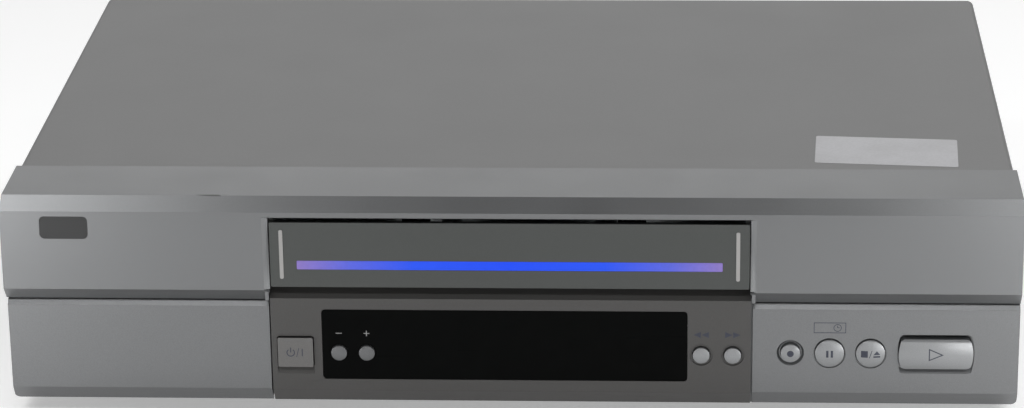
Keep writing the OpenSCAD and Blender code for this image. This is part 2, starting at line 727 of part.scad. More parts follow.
module play_button() color("#c3c5c5") place() {
    intersection() {
        translate([play_x, catch_y, play_z]) rotate([90, 0, 0])
            linear_extrude(catch_y - lower_back + button_proud + 1) play_outline(play_w, play_h);
        rod_x(lower_back - button_proud - 0.4 + play_face_r, play_z, play_x - play_w, play_x + play_w,
            play_face_r);
    }
    front_plate(play_x - play_w / 2 - 1, play_x + play_w / 2 + 1, play_z - play_h / 2 - 1,
        play_z + play_h / 2 + 1, 2, catch_y, catch_y + flange_t);
    button_stem(play_x, play_z);
}

board_low = feet_h + 3;
board_high = feet_h + 43;
board_right = half_w - 8;
board_left = -fascia_w / 2 - 1;
board_post_z = feet_h + 5.5;

module front_circuit_board() color("#3f6b46") place() {
    block(board_left, board_right, front_board_y, front_board_y + board_t, board_low, board_high);
    for (x = [power_x, 0, fascia_w / 2 - 3.8, board_right - 7])
        rod_y(x, board_post_z, frame_in, front_board_y, 2.2);
}

module tact_switches() color("#222426") place()
    for (b = [[power_x, power_z], [channel_down_x, row_z], [channel_up_x, row_z], [rewind_x, row_z],
        [forward_x, row_z], [record_x, keys_z], [pause_x, keys_z], [stop_x, keys_z],
        [play_x, play_z]]) {
        s = switch_body / 2;
        block(b[0] - s, b[0] + s, front_board_y - switch_h, front_board_y, b[1] - s, b[1] + s);
        rod_y(b[0], b[1], plunger_y, front_board_y - switch_h, switch_r);
    }

module fluorescent_display() color("#27413f") place() {
    low = feet_h + window_low + 5.9;
    block(channel_up_x + 11, window_right - 7.9, 13, 19, low, feet_h + window_high - 2.9);
    for (x = [channel_up_x + 17:8:window_right - 13]) block(x, x + 1, 19, front_board_y, low + 1, low + 2);
}

// Sockets behind the connector cover: three phono and a four-pin video socket
module front_jacks() color("#d8b640") place() {
    for (i = [0:2]) difference() {
        union() {
            rod_y(jack_x[i], jack_z, pocket_back - 7, pocket_back + 6, phono_r);
            rod_y(jack_x[i], jack_z, pocket_back + 2, pocket_back + 6, phono_r + 1.6);
        }
        rod_y(jack_x[i], jack_z, pocket_back - 8, pocket_back + 3, 1.6);
    }
    difference() {
        rod_y(jack_x[3], jack_z, pocket_back - 2, pocket_back + 6, 6);
        difference() {
            rod_y(jack_x[3], jack_z, pocket_back - 3, pocket_back + 4, 4.8);
            rod_y(jack_x[3], jack_z, pocket_back - 4, pocket_back + 5, 3.2);
        }
    }
    block(jack_x[3] - 9, jack_x[0] + 8, pocket_back + 6, pocket_back + 6 + board_t, jack_z - 10, jack_z + 10);
}

// Boards on short posts over the casing floor
module standing_board(x0, x1, y0, y1) {
    block(x0, x1, y0, y1, board_z, board_z + board_t);
    for (x = [x0 + 5, x1 - 5], y = [y0 + 5, y1 - 5]) rod_z(x, y, floor_z, board_z, 2.5);
}

board_top = board_z + board_t;

module main_circuit_board() color("#4d7a4a") place() {
    standing_board(bay_in, bay_out, 60, rear_in - 1);
    for (c = [[-14, 90, 14], [11, 95, 10], [-4, 130, 12], [20, 140, 9]])
        translate([bay_mid + c[0], c[1], board_top]) block(-c[2], c[2], -c[2], c[2], 0, 2.5);
    for (i = [-2.5:2.5]) rod_z(bay_mid + i * 10, 165, board_top, board_top + 12, 3.5);
}

module power_supply_board() color("#a9813f") place() {
    standing_board(-bay_out, -bay_in, 130, rear_in - 1);
    rod_z(-bay_mid - 26, rear_in - 42.6, board_top, board_top + 16, 6);
    block(-bay_mid - 24, -bay_mid - 8, rear_in - 31.6, rear_in - 19.6, board_top, board_top + 10);
}

transformer_x = -bay_mid - 6;
transformer_y = 182;

module transformer() color("#6d5f3c") place() {
    block(transformer_x - 16, transformer_x + 16, transformer_y - 14, transformer_y + 14,
        board_top, board_top + 4);
    block(transformer_x - 18, transformer_x + 18, transformer_y - 7, transformer_y + 7,
        board_top + 4, board_top + 28);
    block(transformer_x - 13, transformer_x + 13, transformer_y - 13, transformer_y + 13,
        board_top + 6, board_top + 26);
}

module power_capacitors() color("#28323d") place()
    for (c = [[-29, 145, 8, 32], [-10, 145, 6.5, 24], [8, 145, 6.5, 24], [-31, 168, 5, 20]])
        rod_z(c[0] - bay_mid, c[1], board_top, board_top + c[3], c[2]);

module heat_sink() color("#b4b7ba") place() {
    x = -bay_in - 9.5;
    block(x - 2.5, x, 150, 210, board_top, board_top + 34);
    for (y = [152:8:208]) block(x, x + 6.5, y, y + 1.5, board_top, board_top + 34);
    block(x - 7.5, x - 2.5, 172, 182, board_top + 8, board_top + 24);
}

aerial_z = [feet_h + 30, feet_h + 52];

module tuner_module() color("#c4c8ca") place() {
    block(tuner_x - 9, tuner_x + 9, rear_in - 71.6, rear_in, board_top, feet_h + 66);
    for (z = aerial_z) difference() {
        union() {
            rod_y(tuner_x, z, rear_in - 2, rear_y + collar_reach, aerial_r + 1.2);
            rod_y(tuner_x, z, rear_y, body_d + socket_reach, aerial_r);
        }
        rod_y(tuner_x, z, rear_in + 2, body_d + socket_reach + 1, aerial_r - 1);
    }
    rod_y(tuner_x, aerial_z[0], rear_in, body_d + socket_reach - 2, 1.1);
}

module scart_outline(w, h)
    polygon([[-w / 2, -h / 2], [w / 2 - 5, -h / 2], [w / 2, -h / 2 + 5], [w / 2, h / 2], [-w / 2, h / 2]]);

scart_reach = 6;

// Two 21-pin sockets, one over the other, in one moulding
module scart_sockets() color("#1d1e20") place() {
    for (z = scart_z) difference() {
        block(scart_x - scart_w / 2, scart_x + scart_w / 2, rear_in - 12, rear_y + scart_reach,
            z - scart_h / 2, z + scart_h / 2);
        translate([scart_x, rear_y + scart_reach + 1, z]) rotate([90, 0, 0])
            linear_extrude(13) scart_outline(scart_w - 3, scart_h - 3.5);
    }
    for (z = scart_z, i = [0:9], s = [-1, 1])
        block(scart_x - 18.5 + i * 4, scart_x - 17.3 + i * 4, rear_y + scart_reach - 12.5,
            rear_y + scart_reach - 3, z + s * 2.6 - 0.6, z + s * 2.6 + 0.6);
    block(scart_x - scart_w / 2 + 2, scart_x + scart_w / 2 - 2, rear_in - 12, rear_in - 4, board_top,
        scart_z[0] - scart_h / 2);
    block(scart_x - scart_w / 2 + 2, scart_x + scart_w / 2 - 2, rear_in - 12, rear_in - 4,
        scart_z[0] + scart_h / 2, scart_z[1] - scart_h / 2);
}

rear_phono_x = [scart_x - 1.5 * phono_pitch, scart_x - phono_pitch / 2, scart_x + phono_pitch / 2,
    scart_x + 1.5 * phono_pitch];
rear_jack_reach = 8;
collar_reach = 1;

module rear_jacks() color("#c9a43a") place() {
    difference() {
        for (x = rear_phono_x) {
            rod_y(x, phono_z, rear_in - 1.5, rear_y + collar_reach, phono_r + 1.2);
            rod_y(x, phono_z, rear_y, rear_y + rear_jack_reach, phono_r);
        }
        for (x = rear_phono_x) rod_y(x, phono_z, rear_y, rear_y + rear_jack_reach + 1, 1.6);
    }
    block(rear_phono_x[0] - 6, rear_phono_x[3] + 6, rear_in - 10, rear_in - 1.5, phono_z - 6, phono_z + 6);
    block(rear_phono_x[0] - 4, rear_phono_x[3] + 4, rear_in - 9, rear_in - 5, scart_z[1] + scart_h / 2,
        phono_z - 6);
}

inlet_w = 22;
inlet_h = 12;

// Two-pin mains inlet in the rear panel
module mains_inlet() color("#161718") place() {
    difference() {
        block(inlet_x - inlet_w / 2, inlet_x + inlet_w / 2, rear_in - 16, rear_y + 1.5,
            inlet_z - inlet_h / 2, inlet_z + inlet_h / 2);
        front_shape(rear_in - 10, rear_y + 3) {
            for (s = [-1, 1]) translate([inlet_x + s * 3.5, inlet_z]) circle(r = 3.6, $fn = 48);
            translate([inlet_x - 3.5, inlet_z - 2.6]) square([7, 5.2]);
        }
    }
    for (s = [-1, 1]) rod_y(inlet_x + s * 3.5, inlet_z, rear_in - 12, rear_in, 1.2);
    block(inlet_x - 8, inlet_x + 8, rear_in - 16, rear_in - 8, board_top, inlet_z - inlet_h / 2);
}

// Curved slot that a tape guide runs along
module guide_slot(side) mirror([side < 0 ? 1 : 0, 0, 0])
    translate([loading_gear_r, arm_pivot_y, deck_z - 1]) rotate([0, 0, arm_start - slot_spare])
        rotate_extrude(angle = loading_swing + 2 * slot_spare, $fn = 96)
            translate([loading_arm_len - slot_half, 0]) square([2 * slot_half, deck_t + 2]);

slot_half = 3;
slot_spare = 5.5;
pin_play = 0.3;
reel_pin_r = 1.5;
reel_pin_top = play_level + 7;
arm_pin_r = 2;
cam_pin_r = 2.5;
pinch_pin_r = 2;
tension_pin_r = 1.5;
bearing_r = 5;

// The deck plate with the fixed pins that the moving parts turn on
module deck_chassis() color("#a9adb0") place() {
    difference() {
        block(-deck_half, deck_half, deck_front, deck_back, deck_z, deck_top);
        for (s = [-1, 1]) guide_slot(s);
        rod_z(capstan_x, capstan_y, deck_z - 1, deck_top + 1, bearing_r);
        for (s = [-1, 1], y = post_y) rod_z(s * post_x, y, deck_z - 1, deck_top + 1, screw_r + screw_play);
        for (s = [-1, 1]) translate([s * 30, 0, 0]) block(-12, 12, 60, 84, deck_z - 1, deck_top + 1);
    }
    for (s = [-1, 1]) {
        rod_z(s * hub_pitch / 2, reel_y, deck_top, reel_pin_top, reel_pin_r);
        rod_z(s * loading_gear_r, arm_pivot_y, arm_z - 0.5, deck_z, arm_pin_r);
    }
    rod_z(cam_at[0], cam_at[1], arm_z - 0.5, deck_z, cam_pin_r);
    rod_z(pinch_pivot[0], pinch_pivot[1], deck_top, deck_top + 8, pinch_pin_r);
    rod_z(tension_pivot[0], tension_pivot[1], deck_top, deck_top + 7, tension_pin_r);
    rod_z(0, idler_pivot_y, deck_top, deck_top + 7, reel_pin_r);
}

housing_back = holder_front + holder_len + load_travel + 2;
track_z = holder_z + 20.5;
track_half = 1.8;
carriage_pin_y = [holder_front + 12, holder_front + holder_len - 12];
bracket_top = top_z - sheet_t - 3;

// Side brackets with their tracks, joined by a tie plate over the front
module housing_brackets() color("#b8bcbf") place() {
    for (s = [0, 1]) mirror([s, 0, 0]) difference() {
        union() {
            block(bracket_half, bracket_half + bracket_t, deck_front, housing_back, deck_top, bracket_top);
            block(bracket_half, deck_half - 8.5, deck_front + 20, housing_back - 10, deck_top,
                deck_top + bracket_t);
        }
        for (y = carriage_pin_y)
            block(bracket_half - 1, bracket_half + bracket_t + 1, y - track_half,
                y + load_travel + track_half, track_z - track_half, track_z + track_half);
        block(bracket_half - 1, bracket_half + bracket_t + 1, deck_front + 30, housing_back - 30,
            deck_top + 8, track_z - 10);
    }
    block(-bracket_half - bracket_t, bracket_half + bracket_t, deck_front + 2, deck_front + 14,
        bracket_top, bracket_top + bracket_t);
}

holder_pin_y = [holder_front + 18, holder_front + holder_len - 20];
holder_pin_z = holder_z + 13.5;
tie_z = holder_z + holder_h + holder_t + 1.4;

// The carriage runs along the tracks and carries the holder
module lift_carriage() color("#c8ccd0") place() {
    for (s = [0, 1]) mirror([s, 0, 0]) {
        difference() {
            block(carriage_half, carriage_half + carriage_t, holder_front + 2, holder_front + holder_len - 2,
                holder_pin_z - drop_travel - 4, tie_z + carriage_t);
            for (y = holder_pin_y)
                block(carriage_half - 1, carriage_half + carriage_t + 1, y - track_half, y + track_half,
                    holder_pin_z - drop_travel - track_half, holder_pin_z + track_half);
        }
        for (y = carriage_pin_y)
            rod_x(y, track_z, carriage_half + carriage_t, bracket_half + bracket_t, track_half - 0.4);
    }
    block(-carriage_half - carriage_t, carriage_half + carriage_t, holder_front + holder_len - 16,
        holder_front + holder_len - 4, tie_z, tie_z + carriage_t);
}

module cassette_holder() color("#d4d6d8") place() {
    y0 = holder_front;
    y1 = holder_front + holder_len;
    half = holder_half + holder_t;
    difference() {
        block(-half, half, y0, y1, holder_z + holder_h, holder_z + holder_h + holder_t);
        for (s = [-1, 1]) translate([s * 52, 0, 0])
            block(-24, 24, y0 + 16, y1 - 24, holder_z + holder_h - 1, holder_z + holder_h + holder_t + 1);
    }
    for (s = [0, 1]) mirror([s, 0, 0]) {
        block(holder_half, half, y0, y1, holder_z - holder_t, holder_z + holder_h + holder_t);
        block(half - holder_lip - holder_t, half, y0, y1, holder_z - holder_t, holder_z);
        block(half - holder_lip, half, y1 - holder_t, y1, holder_z - holder_t, holder_z + 12);
        for (y = holder_pin_y)
            rod_x(y, holder_pin_z, half - 0.2, carriage_half + carriage_t - 0.1, track_half - 0.4);
    }
}

// Everything of the drum is built upright about its lower face, then leaned back
drum_z = deck_top + 7;
drum_h = 16;
drum_gap = 0.4;
drum_shaft_r = 2;
drum_seat_r = 20;

module leaned() place() translate([0, drum_y, drum_z]) rotate([-drum_tilt, 0, 0]) children();

module drum_base() color("#8f9396") difference() {
    union() {
        place() block(-16, 16, drum_y - 16, drum_y + 16, deck_top, deck_top + 5);
        place() block(-34, 34, drum_y - 26, drum_y + 30, deck_top, deck_top + 2);
        leaned() rod_z(0, 0, -4.2, 0, drum_seat_r);
    }
    leaned() rod_z(0, 0, -4.2, 1, drum_shaft_r + pin_play);
}

module lower_drum() color("#b7bbbe") leaned() difference() {
    union() {
        rod_z(0, 0, 0, drum_h - 3, drum_r);
        rod_z(0, 0, drum_h - 3, drum_h, drum_r - 0.4);
    }
    rod_z(0, 0, -1, drum_h + 1, drum_shaft_r + pin_play);
}

module upper_drum() color("#c9cdd0") leaned() {
    low = drum_h + drum_gap;
    difference() {
        rod_z(0, 0, low, low + drum_h, drum_r);
        for (a = [0:60:300]) rotate([0, 0, a]) block(drum_r - 2.5, drum_r + 1, -2, 2, low - 1, low + 1.4);
        for (a = [30:60:330]) rotate([0, 0, a]) rod_z(drum_r - 12, 0, low + drum_h - 3, low + drum_h + 1, 3);
    }
    rod_z(0, 0, low + drum_h, low + drum_h + 2.5, 10);
    rod_z(0, 0, -3, low + 1, drum_shaft_r);
}

stator_z = floor_z + 0.6;
stator_top = stator_z + board_t;

module capstan_motor() color("#6d7f6a") place() {
    block(capstan_x - 31, capstan_x + 32, capstan_y - 35, capstan_y + 31, stator_z, stator_top);
    difference() {
        rod_z(capstan_x, capstan_y, stator_top, stator_top + 1.2, 24);
        rod_z(capstan_x, capstan_y, stator_top, stator_top + 2, 14);
    }
    for (a = [-100, -30, 50])
        rod_z(capstan_x + 32.5 * cos(a), capstan_y + 32.5 * sin(a), a > 0 ? floor_z : stator_top, deck_z,
            2.2);
    difference() {
        rod_z(capstan_x, capstan_y, flywheel_z + flywheel_t + 0.6, deck_top + 2.8, bearing_r);
        rod_z(capstan_x, capstan_y, flywheel_z, deck_top + 4, capstan_r + pin_play);
    }
}

module capstan_flywheel() color("#a79a6a") place() {
    difference() {
        rod_z(capstan_x, capstan_y, flywheel_z, flywheel_z + flywheel_t, flywheel_r);
        for (a = [0:60:300])
            rod_z(capstan_x + 17 * cos(a), capstan_y + 17 * sin(a), flywheel_z - 1,
                flywheel_z + flywheel_t + 1, 4);
    }
    rod_z(capstan_x, capstan_y, stator_top + 0.3, deck_top + 28, capstan_r);
}

rim_z = deck_top + 1.2;
rim_t = 3;
spindle_top = play_level + 14;

// A reel table: rim, step that the reel rests on, and splined spindle
module reel_table(x) place() translate([x, reel_y, 0]) difference() {
    union() {
        rod_z(0, 0, rim_z, rim_z + rim_t, reel_r);
        rod_z(0, 0, rim_z, play_level, 11);
        rod_z(0, 0, play_level, spindle_top - 3, 4.2);
        translate([0, 0, spindle_top - 3]) cylinder(r1 = 4.2, r2 = 2, h = 3, $fn = 48);
        for (a = [0:60:300]) rotate([0, 0, a]) block(3, 6, -0.8, 0.8, play_level - 0.5, spindle_top - 4);
    }
    rod_z(0, 0, rim_z - 1, reel_pin_top + 1, reel_pin_r + pin_play);
    for (a = [0:45:315]) rotate([0, 0, a]) rod_z(18.5, 0, rim_z - 1, rim_z + rim_t + 1, 3);
}

module supply_reel_table() color("#3b3d40") reel_table(-hub_pitch / 2);
module takeup_reel_table() color("#3b3d40") reel_table(hub_pitch / 2);

idler_arm_z = rim_z + rim_t + 0.5;

module idler_arm() color("#e0e0da") place() difference() {
    union() {
        rod_z(0, idler_pivot_y, deck_top + 0.6, idler_arm_z + 1.5, 4);
        block(-4, 4, reel_y, idler_pivot_y, idler_arm_z, idler_arm_z + 1.5);
        rod_z(0, reel_y, idler_arm_z, idler_arm_z + 1.5, 4);
        rod_z(0, reel_y, rim_z + 0.2, idler_arm_z, reel_pin_r);
    }
    rod_z(0, idler_pivot_y, deck_top, idler_arm_z + 3, reel_pin_r + pin_play);
}

module idler_wheel() color("#2c2d2f") place() difference() {
    rod_z(0, reel_y, rim_z + 0.4, rim_z + rim_t - 0.2, idler_r);
    rod_z(0, reel_y, rim_z - 1, rim_z + rim_t + 1, reel_pin_r + pin_play);
}

pinch_arm_z = deck_top + 3.4;
pinch_arm_t = 3;
pinch_roller_z = deck_top + 8;
pinch_roller_h = 16;

module pinch_roller_arm() color("#b5b9bd") place() difference() {
    union() {
        rod_z(pinch_pivot[0], pinch_pivot[1], deck_top + 0.6, pinch_arm_z + pinch_arm_t, 4.5);
        translate([pinch_pivot[0], pinch_pivot[1], 0]) rotate([0, 0, pinch_angle])
            block(0, pinch_len, -3, 3, pinch_arm_z, pinch_arm_z + pinch_arm_t);
        rod_z(pinch_at[0], pinch_at[1], pinch_arm_z, pinch_arm_z + pinch_arm_t, 4);
        rod_z(pinch_at[0], pinch_at[1], pinch_arm_z, pinch_roller_z + pinch_roller_h + 1, reel_pin_r);
    }
    rod_z(pinch_pivot[0], pinch_pivot[1], deck_top, deck_top + 12, pinch_pin_r + pin_play);
}

module pinch_roller() color("#1f2022") place() difference() {
    rod_z(pinch_at[0], pinch_at[1], pinch_roller_z, pinch_roller_z + pinch_roller_h, pinch_roller_r);
    rod_z(pinch_at[0], pinch_at[1], pinch_roller_z - 1, pinch_roller_z + pinch_roller_h + 1,
        reel_pin_r + pin_play);
}

// The full-width erase head and the sound and control head, on their posts
module tape_heads() color("#cfd2d4") place() {
    rod_z(-68, 183, deck_top, deck_top + 8, 3);
    block(-72, -64, 180, 186, deck_top + 8, deck_top + 25);
    rod_z(67, 211, deck_top, deck_top + 8, 3.5);
    block(61, 73, 206, 216, deck_top + 8, deck_top + 10);
    block(62, 70, 206, 213, deck_top + 10, deck_top + 27);
    rod_z(-80, 196, deck_top, deck_top + 26, 2);
}

module loading_arm(side, turn) place() translate([side * loading_gear_r, arm_pivot_y, arm_z]) difference() {
    union() {
        linear_extrude(arm_t) toothed_disc(loading_gear_r, loading_teeth, turn);
        rotate([0, 0, side > 0 ? arm_start : 180 - arm_start]) {
            block(0, loading_arm_len, -4, 4, 0, arm_t);
            rod_z(loading_arm_len, 0, 0, arm_t, 4.8);
        }
    }
    rod_z(0, 0, -1, arm_t + 1, arm_pin_r + pin_play);
}

module supply_loading_arm() color("#e4e4de") loading_arm(-1, 180 / loading_teeth);
module takeup_loading_arm() color("#e4e4de") loading_arm(1, loading_teeth % 2 == 0 ? 0 : 180 / loading_teeth);

// A tape guide: foot above the deck, neck through the slot, roller and top flange
module tape_guide(side) place() translate([side * loading_gear_r, arm_pivot_y, 0])
    rotate([0, 0, side > 0 ? arm_start : 180 - arm_start]) translate([loading_arm_len, 0, 0]) {
        rod_z(0, 0, arm_z + arm_t, deck_top + 0.3, slot_half - 0.8);
        rod_z(0, 0, deck_top + 0.3, deck_top + 3.3, 4.5);
        rod_z(0, 0, deck_top + 3.3, deck_top + 7, 1.5);
        rod_z(0, 0, deck_top + 7, deck_top + 24, 3);
        rod_z(0, 0, deck_top + 24, deck_top + 26, 4);
    }

module supply_guide() color("#cfd2d5") tape_guide(-1);
module takeup_guide() color("#cfd2d5") tape_guide(1);

tension_span = tension_end - tension_pivot;
tension_len = norm(tension_span);
tension_angle = atan2(tension_span[1], tension_span[0]);

module tension_arm() color("#c4c8cb") place() difference() {
    union() {
        rod_z(tension_pivot[0], tension_pivot[1], deck_top + 0.6, deck_top + 5, 4);
        translate([tension_pivot[0], tension_pivot[1], 0]) rotate([0, 0, tension_angle])
            block(0, tension_len, -2.5, 2.5, deck_top + 2, deck_top + 3.5);
        rod_z(tension_end[0], tension_end[1], deck_top + 2, deck_top + 26, 1.5);
        rod_z(tension_end[0], tension_end[1], deck_top + 2, deck_top + 3.5, 3);
    }
    rod_z(tension_pivot[0], tension_pivot[1], deck_top, deck_top + 9, tension_pin_r + pin_play);
}

motor_y = 52;
motor_z = deck_top + 14;

module loading_motor() color("#9fa4a8") place() {
    rod_x(motor_y, motor_z, -78, -50, 11);
    rod_x(motor_y, motor_z, -50, -34, 3);
    block(-50, -48, motor_y - 12, motor_y + 12, deck_top, motor_z + 12);
    block(-36, -34, motor_y - 7, motor_y + 7, deck_top, motor_z + 6);
}

module cam_gear() color("#e8e6dc") place() translate([cam_at[0], cam_at[1], arm_z]) difference() {
    union() {
        linear_extrude(arm_t) toothed_disc(cam_r, 60, 0);
        rod_z(0, 0, -2, arm_t, 6);
    }
    rod_z(0, 0, -3, arm_t + 1, cam_pin_r + pin_play);
    for (a = [0:72:288]) rotate([0, 0, a]) rod_z(13, 0, -1, arm_t + 1, 3.5);
}

module casing_screws() color("#7d8184") place() {
    for (s = [0, 1], y = side_screw_y) mirror([s, 0, 0]) {
        rod_x(y, side_screw_z, cover_half, cover_half + screw_head_h, screw_head_r);
        rod_x(y, side_screw_z, bay_out + 0.8, cover_half, screw_r);
    }
    for (x = back_screw_x) {
        rod_y(x, back_screw_z, rear_y + sheet_t, rear_y + sheet_t + 1.6, screw_head_r);
        rod_y(x, back_screw_z, rear_in - 4, rear_y + sheet_t, screw_r);
    }
}

module deck_screws() color("#c0a860") place()
    for (s = [-1, 1], y = post_y) {
        rod_z(s * post_x, y, deck_top, deck_top + 1.6, 3);
        rod_z(s * post_x, y, deck_z - 7, deck_top, screw_r);
    }

top_cover();
bottom_chassis();
rear_panel();
feet();
front_bezel();
centre_fascia();
control_panel();
connector_cover();
display_window();
badge_plate();
cassette_door();
door_strip();
door_spring();
power_button();
channel_down_button();
channel_up_button();
rewind_button();
fast_forward_button();
record_button();
pause_button();
stop_eject_button();
play_button();
front_circuit_board();
tact_switches();
fluorescent_display();
front_jacks();
main_circuit_board();
power_supply_board();
transformer();
power_capacitors();
heat_sink();
tuner_module();
scart_sockets();
rear_jacks();
mains_inlet();
deck_chassis();
housing_brackets();
lift_carriage();
cassette_holder();
drum_base();
lower_drum();
upper_drum();
capstan_motor();
capstan_flywheel();
supply_reel_table();
takeup_reel_table();
idler_arm();
idler_wheel();
pinch_roller_arm();
pinch_roller();
tape_heads();
supply_loading_arm();
takeup_loading_arm();
supply_guide();
takeup_guide();
tension_arm();
loading_motor();
cam_gear();
casing_screws();
deck_screws();
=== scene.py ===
import math

import bmesh
import bpy
from mathutils import Matrix, Vector


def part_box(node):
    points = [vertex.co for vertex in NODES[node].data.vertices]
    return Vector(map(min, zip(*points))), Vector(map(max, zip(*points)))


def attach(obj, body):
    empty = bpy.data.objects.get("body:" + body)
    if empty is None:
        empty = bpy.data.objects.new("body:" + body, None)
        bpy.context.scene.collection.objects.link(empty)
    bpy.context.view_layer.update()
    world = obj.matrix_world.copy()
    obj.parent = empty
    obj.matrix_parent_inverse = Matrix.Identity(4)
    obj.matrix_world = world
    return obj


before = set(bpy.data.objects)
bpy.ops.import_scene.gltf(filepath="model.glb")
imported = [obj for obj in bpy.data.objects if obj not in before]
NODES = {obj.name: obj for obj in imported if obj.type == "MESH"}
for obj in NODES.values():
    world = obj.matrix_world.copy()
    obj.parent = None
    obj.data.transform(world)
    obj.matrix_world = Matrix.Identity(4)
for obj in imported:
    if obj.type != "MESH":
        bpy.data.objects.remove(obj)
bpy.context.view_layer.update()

# The recorder's looks: finishes, printed signs, sticker, floor, lights and camera.
# Everything is in metres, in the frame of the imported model. The front faces -Y.
MM = 0.001
SCENE = bpy.context.scene
SCENE.view_settings.view_transform = "Standard"


def place_of(node):
    """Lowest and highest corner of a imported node, and its middle."""
    low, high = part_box(node)
    return low, high, (low + high) / 2


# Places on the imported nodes
STRIP_LOW, STRIP_HIGH, _ = place_of("door_strip")
STRIP_HALF = STRIP_HIGH.x
DOOR_FACE_Y = STRIP_LOW.y
DOOR_RIB_X = STRIP_HALF + 6 * MM
DOOR_RIB_HALF = 0.76 * MM
COVER_TOP = place_of("top_cover")[1].z
CHIP_X, CHIP_HALF_X = -115.0 * MM, 8 * MM
CHIP_Y, CHIP_HALF_Y = place_of("front_bezel")[0].y + 7.8 * MM, 0.7 * MM

# Radii of the curved button faces, in millimetres
PLAY_BOW, SMALL_DOME, LARGE_DOME = 26, 12.18, 18.27

# Colours and levels, linear
SILVER_LEVEL = 0.205
COVER_LEVEL = 0.212
DOOR_GREY = (0.082, 0.087, 0.084)
ZINC = (0.46, 0.48, 0.50)
BOARD_GREEN, BOARD_TAN = (0.035, 0.13, 0.045), (0.36, 0.20, 0.075)
INK, LIGHT_INK = (0.045, 0.050, 0.075), (0.34, 0.34, 0.34)
STRIP_TINTS = [(0.0, (0.020, 0.085, 0.96)), (0.45, (0.028, 0.10, 0.92)),
               (0.75, (0.115, 0.145, 0.73)), (1.0, (0.27, 0.20, 0.53))]   # middle to ends
# strength of the door strip's emission: a painted glow, the strip is no lamp
STRIP_PAINTED_GLOW = 0.29
FLOOR_GLOW = 0.31   # what the camera, metal and glass see on top of the lit floor: white
FLAKE_SCALE = 5200  # of the noise that stands for metallic flakes


# Node material helpers

